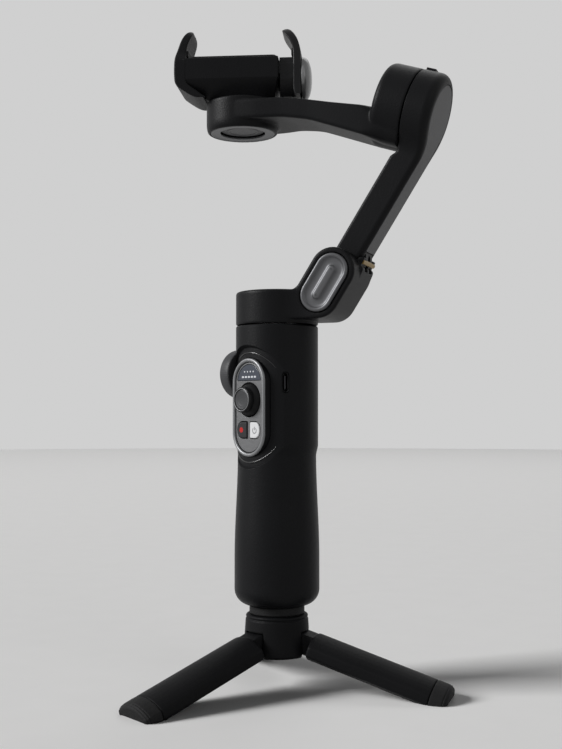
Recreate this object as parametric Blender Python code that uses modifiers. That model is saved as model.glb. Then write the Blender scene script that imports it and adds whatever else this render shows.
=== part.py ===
"""A folding phone gimbal standing on its mini tripod.

The frame is the pan unit's: +X points along the elbow to the right, -Y to the front, +Z up the grip.
The origin is the middle of the tripod hub's underside. The grip is turned under the pan unit by
GRIP_TURN, so its control panel faces forward and to the left. Every length is in metres.
"""

import math

import bmesh
import bpy
from mathutils import Matrix, Vector

MM = 0.001

# Clearances that fits share.
SEAT = 0.2 * MM
SIDE_GAP = 0.3 * MM
RUN_GAP = 0.4 * MM
PIN_GAP = 0.15 * MM

# Tripod.
HUB_RADIUS = 17.0 * MM
HUB_TOP_RADIUS = 16.0 * MM
HUB_HEIGHT = 20.5 * MM
HUB_EDGE = 1.5 * MM
LEG_HINGE_RADIUS = 10.0 * MM
LEG_HINGE_HEIGHT = 7.5 * MM
LEG_PIN_RADIUS = 1.5 * MM
LEG_PIN_LENGTH = 22.0 * MM
LEG_SLOPE = math.radians(17.4)
LEG_LENGTH = 82.0 * MM
LEG_WIDTH = 24.0 * MM
LEG_INNER_RADIUS = 5.0 * MM
LEG_INNER_WIDTH = 16.0 * MM
LEG_RIB_LENGTH = 12.0 * MM
LEG_RIB_HEIGHT = 1.0 * MM
TONGUE_WIDTH = 12.0 * MM
KNUCKLE_RADIUS = 4.4 * MM
FOOT_LENGTH = 9.0 * MM
PAD_RADIUS = 14.0 * MM
PAD_HEIGHT = 4.1 * MM
SCREW_RADIUS = 3.175 * MM
SCREW_LENGTH = 21.0 * MM
INSERT_RADIUS = 6.5 * MM
INSERT_LENGTH = 11.0 * MM

# Grip; heights are measured from its foot.
GRIP_TURN = math.radians(-28.0)
GRIP_HEIGHT = 141.0 * MM
GRIP_RADIUS = 21.0 * MM
GRIP_FOOT_RADIUS = 21.6 * MM
GRIP_FOOT_ROUND = 8.0 * MM
GRIP_WAIST_RADIUS = 20.0 * MM
GRIP_WAIST_HEIGHT = 76.0 * MM
GRIP_WAIST_STEP = 5.0 * MM
GRIP_WALL = 2.4 * MM
GRIP_FLOOR = 4.0 * MM
BATTERY_RADIUS = 9.1 * MM
BATTERY_LENGTH = 65.0 * MM
CHASSIS_WALL = 1.4 * MM
BOARD_WIDTH = 24.0 * MM
BOARD_LENGTH = 46.0 * MM
BOARD_THICKNESS = 1.2 * MM

# Control panel; its heights are measured from its own middle.
PANEL_HEIGHT = 99.7 * MM
PANEL_FACE = 19.8 * MM
BEZEL_WIDTH = 24.2 * MM
BEZEL_LENGTH = 49.4 * MM
BEZEL_RIM = 1.9 * MM
BEZEL_DEPTH = 6.6 * MM
PLATE_INSET = 0.9 * MM
PLATE_THICKNESS = 1.5 * MM
DISH_WIDTH = 36.0 * MM
DISH_LENGTH = 56.0 * MM
DISH_DEPTH = 1.6 * MM
DISH_FLOOR_RADIUS = 25.0 * MM
STICK_HEIGHT = 3.8 * MM
STICK_RADIUS = 6.1 * MM
STICK_REACH = 5.0 * MM
STICK_CAP = 2.7 * MM
STICK_STEM_RADIUS = 2.4 * MM
STICK_PIVOT_DEPTH = 4.4 * MM
STICK_SOCKET_RADIUS = 8.2 * MM
STICK_SOCKET_WALL = 1.2 * MM
STICK_HOLE_RADIUS = 8.8 * MM
YOKE_THICKNESS = 2.4 * MM
BUTTON_HEIGHT = -11.3 * MM
BUTTON_PAIR_WIDTH = 17.0 * MM
BUTTON_PAIR_HEIGHT = 8.0 * MM
BUTTON_SPLIT = 1.2 * MM
BUTTON_PROUD = 0.5 * MM
BUTTON_DEPTH = 4.0 * MM
LENS_HEIGHT = 14.3 * MM
LENS_RADIUS = 7.0 * MM
LENS_SKIRT = 0.8 * MM
PORT_ANGLE = math.radians(60.0)
PORT_HEIGHT = 112.0 * MM
PORT_WIDTH = 3.3 * MM
PORT_LENGTH = 10.2 * MM
PORT_WALL = 0.5 * MM
PORT_DEPTH = 8.0 * MM
PORT_SINK = 0.4 * MM
PORT_TONGUE = 0.7 * MM
WHEEL_BELOW = 1.8 * MM
WHEEL_RADIUS = 12.7 * MM
WHEEL_WIDTH = 7.0 * MM
WHEEL_FACE = 23.2 * MM
WHEEL_FORWARD = 6.5 * MM
WHEEL_EDGE = 0.8 * MM
WHEEL_DISC_RADIUS = 9.2 * MM
WHEEL_DISC_THICKNESS = 1.0 * MM
AXLE_RADIUS = 2.0 * MM
BRACKET_THICKNESS = 1.2 * MM

# Motors.
STATOR_BORE = 8.3 * MM
PAN_STATOR_HEIGHT = 8.0 * MM
PAN_STATOR_DROP = 1.5 * MM
BEARING_WALL = 3.0 * MM
PAN_SHAFT_WALL = 1.7 * MM
MOTOR_SHAFT_RADIUS = 4.2 * MM

# Pan housing and elbow; places are in the X-Z plane.
PAN_SEAM = 0.5 * MM
PAN_HEIGHT = 17.0 * MM
PAN_EDGE = 1.2 * MM
PAN_WALL = 2.4 * MM
ELBOW_RADIUS = 11.5 * MM
ELBOW_LEAN = math.radians(32.3)
ELBOW_REACH = 26.6 * MM
ELBOW_RISE = 13.5 * MM
ELBOW_SPAN = 14.2 * MM
ELBOW_DEPTH = 32.0 * MM
ELBOW_FILLET = 6.0 * MM
CHEEK_DEPTH = 11.5 * MM
LOCK_WIDTH = 16.7 * MM
LOCK_LENGTH = 31.0 * MM
LOCK_PROUD = 1.0 * MM
LOCK_THICKNESS = 3.4 * MM
LOCK_TRAVEL = 1.5 * MM
LOCK_GROOVE_WIDTH = 12.6 * MM
LOCK_GROOVE_LENGTH = 26.8 * MM
LOCK_GROOVE_DEPTH = 0.8 * MM
LOCK_BAR_WIDTH = 4.0 * MM
LOCK_BAR_LENGTH = 20.0 * MM
FOLD_PIN_ACROSS = 7.7 * MM
FOLD_PIN_ABOVE = 10.8 * MM
FOLD_PIN_RADIUS = 1.3 * MM
FOLD_LUG_RADIUS = 2.6 * MM
FOLD_LUG_LENGTH = 4.0 * MM
FOLD_LUG_ROOT = 9.0 * MM
ARM_LUG_ROOT = 4.5 * MM
FOLD_SPLIT = 2.0 * MM

# Upper arm and tilt drum.
ARM_WIDTH = 14.0 * MM
ARM_INSET = 1.6 * MM
ARM_DEPTH = 20.0 * MM
ARM_LENGTH = 54.0 * MM
COVER_WIDTH = 15.0 * MM
COVER_THICKNESS = 0.9 * MM
COVER_DISC_RADIUS = 16.0 * MM
DRUM_ACROSS = -19.6 * MM
DRUM_ALONG = 76.5 * MM
DRUM_DIP = math.radians(18.1)
DRUM_RADIUS = 21.0 * MM
DRUM_OUTER_LENGTH = 13.8 * MM
DRUM_INNER_LENGTH = 16.4 * MM
DRUM_SEAM = 0.5 * MM
DRUM_ROUND = 3.0 * MM
DRUM_WALL = 2.6 * MM

# Roll arm and roll motor.
ROLL_ACROSS = -92.2 * MM
ROLL_TOP = 12.5 * MM
ROLL_RADIUS = 19.0 * MM
ROLL_HEIGHT = 16.0 * MM
ROLL_WALL = 2.4 * MM
ROLL_ARM_DEPTH = 33.0 * MM
ROLL_ARM_DROP = 2.0 * MM
ROLL_ARM_THICKNESS = 11.0 * MM
ROLL_ARM_ROOT = 12.9 * MM
ROLL_ARM_SINK = 6.6 * MM
ROLL_ROTOR_DEPTH = 4.0 * MM
ROLL_RING_RADIUS = 17.0 * MM
ROLL_RING_WIDTH = 5.2 * MM
ROLL_RING_THICKNESS = 1.0 * MM
ROLL_DISC_RADIUS = 11.0 * MM
ROLL_DISC_THICKNESS = 1.2 * MM

# Phone cradle; places are measured from the roll axis and from the roll motor's top.
CRADLE_TURN = math.radians(15.0)
CRADLE_GAP = 0.6 * MM
CRADLE_LEFT = 28.2 * MM
CRADLE_RIGHT = 19.9 * MM
CRADLE_DEPTH = 27.0 * MM
CRADLE_HEIGHT = 20.8 * MM
CRADLE_FACE = 11.0 * MM
CRADLE_NECK = 17.5 * MM
CRADLE_PAD = 0.8 * MM
CRADLE_PAD_MARGIN = 1.2 * MM
FIXED_JAW_THICKNESS = 6.0 * MM
SLIDING_JAW_THICKNESS = 4.2 * MM
JAW_DEPTH = 22.0 * MM
JAW_HOOK = 15.5 * MM
FIXED_JAW_LEAN = 3.2 * MM
SLIDING_JAW_LEAN = 7.6 * MM
JAW_TIP = 2.4 * MM
JAW_OPENING = 55.8 * MM
JAW_PAD = 0.9 * MM
JAW_PAD_HEIGHT = 4.4 * MM
SLIDE_WIDTH = 21.6 * MM
SLIDE_THICKNESS = 6.8 * MM
SLIDE_ROOF = 2.0 * MM
SLIDE_OVERLAP = 46.0 * MM
CAP_RADIUS = 11.2 * MM
CAP_DOME = 5.0 * MM

# Places that follow from the sizes.
LEG_TOP = HUB_RADIUS - LEG_HINGE_RADIUS
LEG_BOTTOM = LEG_HINGE_RADIUS - LEG_INNER_RADIUS
LEG_ROOT = max(
    LEG_HINGE_HEIGHT + RUN_GAP,
    (LEG_TOP + RUN_GAP + LEG_BOTTOM * math.sin(LEG_SLOPE)) / math.cos(LEG_SLOPE),
)
GRIP_BASE = HUB_HEIGHT + PAD_HEIGHT + 2 * SEAT
GRIP_TOP = GRIP_BASE + GRIP_HEIGHT
GRIP_BORE = GRIP_RADIUS - GRIP_WALL
PAN_STATOR_LOW = GRIP_TOP - PAN_STATOR_DROP - PAN_STATOR_HEIGHT
WHEEL_Z = PAN_STATOR_LOW - WHEEL_BELOW - WHEEL_RADIUS
PANEL_Z = GRIP_BASE + PANEL_HEIGHT
STICK_Z = PANEL_Z + STICK_HEIGHT
PLATE_FACE = PANEL_FACE - PLATE_INSET
PAN_BASE = GRIP_TOP + PAN_SEAM
PAN_TOP = PAN_BASE + PAN_HEIGHT
SHAFT_BORE = STATOR_BORE - SIDE_GAP - BEARING_WALL


def clear_scene():
    """Remove whatever the open file holds."""
    for obj in list(bpy.data.objects):
        bpy.data.objects.remove(obj, do_unlink=True)
    for group in list(bpy.data.collections):
        bpy.data.collections.remove(group)


def new_group(name):
    """A collection under the scene's own."""
    group = bpy.data.collections.new(name)
    bpy.context.scene.collection.children.link(group)
    return group


clear_scene()
PARTS = new_group("gimbal_stabilizer")
CUTTERS = new_group("cutters")


def frame(name, matrix, parent=None):
    """An empty on a joint's axis; the pieces that move with the joint are its children."""
    empty = bpy.data.objects.new(name, None)
    empty.empty_display_size = 10 * MM
    PARTS.objects.link(empty)
    empty.parent = parent
    bpy.context.view_layer.update()
    empty.matrix_world = matrix
    bpy.context.view_layer.update()
    return empty


def new_object(name, mesh, place=None):
    """An object that counts as a cutting tool until finish() makes it a part."""
    obj = bpy.data.objects.new(name, mesh)
    obj.hide_render = True
    obj.display_type = "WIRE"
    obj.matrix_basis = place or Matrix()
    CUTTERS.objects.link(obj)
    return obj


def solid(name, bm, place=None):
    """A mesh object from a bmesh, with its faces turned outward."""
    bmesh.ops.recalc_face_normals(bm, faces=bm.faces)
    mesh = bpy.data.meshes.new(name)
    bm.to_mesh(mesh)
    bm.free()
    return new_object(name, mesh, place)


def block(name, low, high):
    """A box between two corners."""
    low = Vector(low)
    high = Vector(high)
    bm = bmesh.new()
    bmesh.ops.create_cube(bm, size=1.0, matrix=Matrix.LocRotScale((low + high) / 2, None, high - low))
    return solid(name, bm)


def rod(name, start, end, radius, sides=24):
    """A cylinder between two points, turned by half a side so that its edges miss those of turned shapes."""
    start = Vector(start)
    run = Vector(end) - start
    turn = run.to_track_quat("Z", "Y").to_matrix().to_4x4() @ Matrix.Rotation(math.pi / sides, 4, "Z")
    bm = bmesh.new()
    bmesh.ops.create_cone(
        bm,
        cap_ends=True,
        segments=sides,
        radius1=radius,
        radius2=radius,
        depth=run.length,
        matrix=Matrix.Translation(start + run / 2) @ turn,
    )
    return solid(name, bm)


def turned(name, profile, place=None, steps=40, closed=False):
    """Turn (radius, height) points about Z; they run down the outside, then up any inside."""
    last = len(profile) - 1
    edges = [(index, index + 1) for index in range(last)]
    if closed:
        edges.append((last, 0))
    mesh = bpy.data.meshes.new(name)
    mesh.from_pydata([(radius, 0, height) for radius, height in profile], edges, [])
    obj = new_object(name, mesh, place)
    screw = obj.modifiers.new("turn", "SCREW")
    screw.steps = steps
    screw.render_steps = steps
    screw.use_merge_vertices = True
    screw.merge_threshold = 0.01 * MM
    screw.use_smooth_shade = False
    return obj


def ring(name, inner, outer, low, high, place=None, steps=40):
    """A plain ring about Z."""
    profile = [(outer, high), (outer, low), (inner, low), (inner, high)]
    return turned(name, profile, place, steps, closed=True)


def outline_solid(name, loops, near, far, place=None):
    """Extrude closed X-Z outlines along Y; loops after the first are holes."""
    curve = bpy.data.curves.new(name, "CURVE")
    curve.dimensions = "2D"
    curve.fill_mode = "BOTH"
    curve.extrude = (far - near) / 2
    for loop in loops:
        spline = curve.splines.new("POLY")
        spline.points.add(len(loop) - 1)
        for point, (x, z) in zip(spline.points, loop):
            point.co = (x, z, 0, 1)
        spline.use_cyclic_u = True
    holder = bpy.data.objects.new(name, curve)
    CUTTERS.objects.link(holder)
    shape = holder.evaluated_get(bpy.context.evaluated_depsgraph_get())
    mesh = bpy.data.meshes.new_from_object(shape)
    bpy.data.objects.remove(holder)
    bm = bmesh.new()
    bm.from_mesh(mesh)
    bpy.data.meshes.remove(mesh)
    bmesh.ops.remove_doubles(bm, verts=bm.verts, dist=0.001 * MM)
    bm.transform(Matrix.Translation((0, (near + far) / 2, 0)) @ Matrix.Rotation(math.pi / 2, 4, "X"))
    return solid(name, bm, place)


def boolean(obj, tool, operation):
    """Cut, join or trim a piece with a tool drawn in the same frame."""
    change = obj.modifiers.new(tool.name, "BOOLEAN")
    change.operation = operation
    change.solver = "EXACT"
    change.object = tool


def cut(obj, *tools):
    """Take tools away from a piece."""
    for tool in tools:
        boolean(obj, tool, "DIFFERENCE")


def merge(obj, *tools):
    """Join tools to a piece as one body."""
    for tool in tools:
        boolean(obj, tool, "UNION")


def attach(obj, holder, drawn_in):
    """Parent a piece and its tools to a frame, keeping the place they were drawn at."""
    obj.parent = holder
    start = drawn_in.matrix_world if drawn_in else Matrix()
    obj.matrix_parent_inverse = holder.matrix_world.inverted() @ start
    for change in obj.modifiers:
        if change.type == "BOOLEAN":
            attach(change.object, holder, drawn_in)


def finish(obj, look, holder, drawn_in=None):
    """Make a part of an object: its material, its parent and its place among the parts."""
    colour, roughness, metallic = look
    material = bpy.data.materials.new(obj.name)
    material.use_nodes = True
    shader = material.node_tree.nodes["Principled BSDF"]
    shader.inputs["Base Color"].default_value = (*colour, 1.0)
    shader.inputs["Roughness"].default_value = roughness
    shader.inputs["Metallic"].default_value = metallic
    material.diffuse_color = (*colour, 1.0)
    obj.data.materials.append(material)
    obj.hide_render = False
    obj.display_type = "TEXTURED"
    CUTTERS.objects.unlink(obj)
    PARTS.objects.link(obj)
    attach(obj, holder, drawn_in)


BLACK_PLASTIC = ((0.012, 0.012, 0.014), 0.55, 0.0)
DARK_PLASTIC = ((0.02, 0.02, 0.022), 0.5, 0.0)
GREY_PLASTIC = ((0.16, 0.16, 0.17), 0.42, 0.2)
PALE_PLASTIC = ((0.75, 0.75, 0.76), 0.35, 0.0)
RECORD_PLASTIC = ((0.03, 0.008, 0.008), 0.45, 0.0)
GUNMETAL = ((0.13, 0.13, 0.14), 0.4, 0.6)
RUBBER = ((0.015, 0.015, 0.016), 0.85, 0.0)
STEEL = ((0.55, 0.55, 0.56), 0.35, 1.0)
BRASS = ((0.65, 0.45, 0.18), 0.3, 1.0)
COPPER = ((0.6, 0.3, 0.15), 0.45, 1.0)
CELL_WRAP = ((0.02, 0.12, 0.2), 0.4, 0.0)
BOARD_GREEN = ((0.01, 0.12, 0.05), 0.5, 0.0)
SMOKED = ((0.05, 0.06, 0.08), 0.15, 0.0)


def arc(cx, cz, radius, start, end, points=9):
    """Points along an arc between two angles in degrees."""
    angles = [math.radians(start + (end - start) * index / (points - 1)) for index in range(points)]
    return [(cx + radius * math.cos(angle), cz + radius * math.sin(angle)) for angle in angles]


def pill(width, length, cx=0.0, cz=0.0, lean=0.0, points=11):
    """A closed pill outline whose long axis leans to the right of upright by an angle."""
    lift = (length - width) / 2
    turn = math.degrees(lean)
    dx = lift * math.sin(lean)
    dz = lift * math.cos(lean)
    top = arc(cx + dx, cz + dz, width / 2, -turn, 180 - turn, points)
    return top + arc(cx - dx, cz - dz, width / 2, 180 - turn, 360 - turn, points)


def outward(x, y, z):
    """A place on the panel whose own Z points out of the panel, toward -Y."""
    return Matrix.Translation((x, y, z)) @ Matrix.Rotation(math.pi / 2, 4, "X")


HANDLE = frame("handle", Matrix.Rotation(GRIP_TURN, 4, "Z"))
LEG_ANGLES = (-90.0, 30.0, 150.0)


def leg_place(degrees):
    """A leg's hinge: X along the opened leg, Y along the pin."""
    turn = Matrix.Rotation(math.radians(degrees), 4, "Z")
    hinge = Matrix.Translation((LEG_HINGE_RADIUS, 0, LEG_HINGE_HEIGHT))
    return turn @ hinge @ Matrix.Rotation(LEG_SLOPE, 4, "Y")


def make_hub():
    """The turned hub with a slot and a pin hole for each leg and a blind bore for the screw."""
    profile = [
        (0, HUB_HEIGHT),
        (HUB_TOP_RADIUS - HUB_EDGE, HUB_HEIGHT),
        (HUB_TOP_RADIUS, HUB_HEIGHT - HUB_EDGE),
        (HUB_RADIUS, 0),
        (0, 0),
    ]
    hub = turned("tripod_hub", profile)
    ceiling = LEG_HINGE_HEIGHT + KNUCKLE_RADIUS + RUN_GAP
    half = TONGUE_WIDTH / 2 + RUN_GAP
    floor = LEG_INNER_RADIUS - 2 * RUN_GAP
    for index, degrees in enumerate(LEG_ANGLES, 1):
        turn = Matrix.Rotation(math.radians(degrees), 4, "Z")
        slot = block(f"leg_slot_{index}", (floor, -half, -HUB_EDGE), (2 * HUB_RADIUS, half, ceiling))
        slot.matrix_basis = turn
        hole = rod(f"leg_pin_hole_{index}", *leg_pin_ends(SIDE_GAP), LEG_PIN_RADIUS + PIN_GAP)
        hole.matrix_basis = turn
        cut(hub, slot, hole)
    bore = rod("screw_bore", (0, 0, screw_base() - SEAT), (0, 0, 2 * HUB_HEIGHT), SCREW_RADIUS + PIN_GAP)
    cut(hub, bore)
    finish(hub, BLACK_PLASTIC, HANDLE, HANDLE)


def leg_pin_ends(extra=0.0):
    """The two ends of a leg pin, before it is turned to its leg."""
    half = LEG_PIN_LENGTH / 2 + extra
    return (LEG_HINGE_RADIUS, -half, LEG_HINGE_HEIGHT), (LEG_HINGE_RADIUS, half, LEG_HINGE_HEIGHT)


def screw_base():
    """Where the tripod screw starts, above the leg slots."""
    return LEG_HINGE_HEIGHT + KNUCKLE_RADIUS + RUN_GAP + 1.0 * MM


def leg_section():
    """A leg across: a third of the closed tripod's round, with its sides and its inner edge cut flat."""
    half = LEG_WIDTH / 2
    edge = math.degrees(math.asin(half / HUB_RADIUS))
    crown = arc(0, -LEG_HINGE_RADIUS, HUB_RADIUS, 90 - edge, 90 + edge, 9)
    shoulder = half / math.tan(math.radians(60)) + RUN_GAP - LEG_HINGE_RADIUS
    inner = LEG_INNER_WIDTH / 2
    return crown + [(-half, shoulder), (-inner, -LEG_BOTTOM), (inner, -LEG_BOTTOM), (half, shoulder)]


def make_leg(index, degrees):
    """A leg with its hinge tongue, its pin in the hub and its rubber foot."""
    place = HANDLE.matrix_world @ leg_place(degrees)
    hinge = frame(f"leg_{index}_hinge", place, HANDLE)
    along = Matrix.Rotation(-math.pi / 2, 4, "Z")
    foot_start = LEG_LENGTH - FOOT_LENGTH
    leg = outline_solid(f"leg_{index}", [leg_section()], LEG_ROOT, foot_start, along)
    rib_start = (LEG_ROOT + LEG_LENGTH) / 2
    rib = block(
        f"leg_rib_{index}",
        (-LEG_INNER_WIDTH / 3, rib_start, -LEG_BOTTOM - LEG_RIB_HEIGHT),
        (LEG_INNER_WIDTH / 3, rib_start + LEG_RIB_LENGTH, 0),
    )
    rib.matrix_basis = along
    slope = math.degrees(LEG_SLOPE)
    crown_drop = HUB_RADIUS - math.sqrt(HUB_RADIUS**2 - (TONGUE_WIDTH / 2) ** 2)
    top = LEG_TOP - crown_drop - SIDE_GAP
    knuckle = arc(0, 0, KNUCKLE_RADIUS, 90 + slope, 270, 11)
    start_x, start_z = knuckle[0]
    flat_end = start_x + (top - start_z) / math.tan(LEG_SLOPE)
    deep = LEG_ROOT + 2 * MM
    side = knuckle + [(deep, -KNUCKLE_RADIUS), (deep, top), (flat_end, top)]
    tongue = outline_solid(f"leg_tongue_{index}", [side], -TONGUE_WIDTH / 2, TONGUE_WIDTH / 2)
    hole = rod(f"leg_hole_{index}", (0, -TONGUE_WIDTH, 0), (0, TONGUE_WIDTH, 0), LEG_PIN_RADIUS + PIN_GAP)
    merge(leg, rib, tongue)
    cut(leg, hole)
    finish(leg, BLACK_PLASTIC, hinge, hinge)
    pin = rod(f"leg_pin_{index}", *leg_pin_ends(), LEG_PIN_RADIUS)
    pin.matrix_basis = Matrix.Rotation(math.radians(degrees), 4, "Z")
    finish(pin, STEEL, HANDLE, HANDLE)
    foot = outline_solid(f"leg_foot_{index}", [leg_section()], foot_start + SEAT, LEG_LENGTH, along)
    sole = block(
        f"foot_sole_{index}",
        (-LEG_LENGTH, -LEG_LENGTH, -LEG_LENGTH),
        (LEG_LENGTH, LEG_LENGTH, 0),
    )
    sole.matrix_basis = Matrix.Translation((LEG_LENGTH, 0, 0)) @ Matrix.Rotation(-LEG_SLOPE, 4, "Y")
    cut(foot, sole)
    heel = block(
        f"leg_heel_{index}",
        (-LEG_LENGTH, -LEG_LENGTH, -LEG_LENGTH),
        (LEG_LENGTH, LEG_LENGTH, 0),
    )
    heel.matrix_basis = sole.matrix_basis
    cut(leg, heel)
    attach(heel, hinge, hinge)
    finish(foot, RUBBER, hinge, hinge)


def make_tripod():
    """Hub, legs and the rubber seat and screw that hold the grip."""
    make_hub()
    for index, degrees in enumerate(LEG_ANGLES, 1):
        make_leg(index, degrees)
    low = HUB_HEIGHT + SEAT
    pad = ring("grip_seat", SCREW_RADIUS + PIN_GAP, PAD_RADIUS, low, low + PAD_HEIGHT)
    finish(pad, RUBBER, HANDLE, HANDLE)
    base = screw_base()
    screw = rod("tripod_screw", (0, 0, base), (0, 0, base + SCREW_LENGTH), SCREW_RADIUS)
    finish(screw, STEEL, HANDLE, HANDLE)
    low = GRIP_BASE + SEAT
    insert = ring("thread_insert", SCREW_RADIUS + PIN_GAP, INSERT_RADIUS, low, low + INSERT_LENGTH)
    finish(insert, BRASS, HANDLE, HANDLE)


def grip_side(inset):
    """The grip's side from top to foot as (radius, height) points, moved inward by a wall."""
    waist = GRIP_BASE + GRIP_WAIST_HEIGHT
    foot = GRIP_BASE + GRIP_FOOT_ROUND
    return [
        (GRIP_RADIUS - inset, GRIP_TOP),
        (GRIP_RADIUS - inset, waist + GRIP_WAIST_STEP),
        (GRIP_WAIST_RADIUS - inset, waist),
        (GRIP_FOOT_RADIUS - inset, foot + 2 * GRIP_FOOT_ROUND),
        (GRIP_FOOT_RADIUS - inset, foot),
    ]


def bore_at(height):
    """The grip's inner radius at a height above its rounded foot."""
    side = grip_side(GRIP_WALL)
    for (top_radius, top), (low_radius, low) in zip(side, side[1:]):
        if low <= height <= top:
            return low_radius + (top_radius - low_radius) * (height - low) / (top - low)
    return side[-1][0]


def chassis_base():
    """The chassis stands on the threaded insert."""
    return GRIP_BASE + INSERT_LENGTH + 3 * SEAT


def chassis_top():
    """The chassis ends level with the top of the battery it holds."""
    return chassis_base() + CHASSIS_WALL + SEAT + BATTERY_LENGTH


def make_grip():
    """The one-piece grip shell with its openings, and the battery, chassis and board inside it."""
    round_x = GRIP_FOOT_RADIUS - GRIP_FOOT_ROUND
    round_z = GRIP_BASE + GRIP_FOOT_ROUND
    foot = arc(round_x, round_z, GRIP_FOOT_ROUND, 0, -90, 7)[1:]
    hole = INSERT_RADIUS + SEAT
    floor = GRIP_BASE + GRIP_FLOOR
    inner = grip_side(GRIP_WALL)[::-1]
    inner_foot = [(hole, GRIP_BASE), (hole, floor), (round_x - GRIP_WALL / 2, floor)]
    shell = turned("grip_shell", grip_side(0) + foot + inner_foot + inner, steps=56, closed=True)
    dish = outline_solid("dish", [pill(DISH_WIDTH, DISH_LENGTH, 0, PANEL_Z)], -2 * GRIP_RADIUS, 0)
    floor_y = DISH_FLOOR_RADIUS - (GRIP_RADIUS - DISH_DEPTH)
    dish_floor = rod(
        "dish_floor",
        (0, floor_y, PANEL_Z - DISH_LENGTH),
        (0, floor_y, PANEL_Z + DISH_LENGTH),
        DISH_FLOOR_RADIUS,
        96,
    )
    cut(dish, dish_floor)
    window = pill(BEZEL_WIDTH + 2 * SIDE_GAP, BEZEL_LENGTH + 2 * SIDE_GAP, 0, PANEL_Z)
    panel_hole = outline_solid("panel_hole", [window], -2 * GRIP_RADIUS, -GRIP_RADIUS / 2)
    port_hole = outline_solid(
        "port_hole",
        [pill(PORT_WIDTH + 2 * PIN_GAP, PORT_LENGTH + 2 * PIN_GAP, 0, GRIP_BASE + PORT_HEIGHT)],
        -2 * GRIP_RADIUS,
        -GRIP_RADIUS / 2,
        Matrix.Rotation(PORT_ANGLE, 4, "Z"),
    )
    pocket_x = WHEEL_FACE - WHEEL_WIDTH - RUN_GAP
    pocket = rod(
        "wheel_pocket",
        (-pocket_x, -WHEEL_FORWARD, WHEEL_Z),
        (-2 * GRIP_RADIUS, -WHEEL_FORWARD, WHEEL_Z),
        WHEEL_RADIUS + RUN_GAP,
        48,
    )
    cut(shell, dish, panel_hole, port_hole, pocket)
    finish(shell, BLACK_PLASTIC, HANDLE, HANDLE)

    base = chassis_base()
    top = chassis_top()
    tube = BATTERY_RADIUS + RUN_GAP
    outer = tube + CHASSIS_WALL
    disc = bore_at(base) - SIDE_GAP
    lip = tube / 2
    step = base + CHASSIS_WALL
    profile = [(outer, top), (outer, step), (disc, step), (disc, base), (lip, base), (lip, step)]
    profile += [(tube, step), (tube, top)]
    finish(turned("inner_chassis", profile, closed=True), DARK_PLASTIC, HANDLE, HANDLE)
    cell_low = step + SEAT
    cell = rod("battery_cell", (0, 0, cell_low), (0, 0, cell_low + BATTERY_LENGTH), BATTERY_RADIUS, 32)
    finish(cell, CELL_WRAP, HANDLE, HANDLE)
    back = -board_face()
    board = block(
        "main_board",
        (-BOARD_WIDTH / 2, back, top + SEAT),
        (BOARD_WIDTH / 2, back + BOARD_THICKNESS, top + SEAT + BOARD_LENGTH),
    )
    finish(board, BOARD_GREEN, HANDLE, HANDLE)


def board_face():
    """How far in front of the grip's axis the board's front lies: it backs the joystick's socket."""
    return PLATE_FACE - STICK_PIVOT_DEPTH - socket_back() - SIDE_GAP


def socket_back():
    """The socket's depth behind the joystick's pivot, clear of the yoke's swing."""
    return YOKE_THICKNESS / 2 + (STICK_SOCKET_RADIUS - STICK_SOCKET_WALL) * math.sin(math.radians(18))


def half_button(side, grow):
    """One half of the button pair's pill outline: side is -1 for left and +1 for right."""
    radius = BUTTON_PAIR_HEIGHT / 2
    centre = BUTTON_PAIR_WIDTH / 2 - radius
    z = PANEL_Z + BUTTON_HEIGHT
    inner = BUTTON_SPLIT / 2 - grow
    half = radius + grow
    points = arc(centre, z, half, -90, 90, 9)
    points += [(inner, z + half), (inner, z - half)]
    return [(side * x, height) for x, height in points]


def lens_outline(grow):
    """The arched indicator window."""
    z = PANEL_Z + LENS_HEIGHT
    radius = LENS_RADIUS + grow
    base = z - LENS_SKIRT - grow
    return arc(0, z, radius, 0, 180, 15) + [(-radius, base), (radius, base)]


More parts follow.
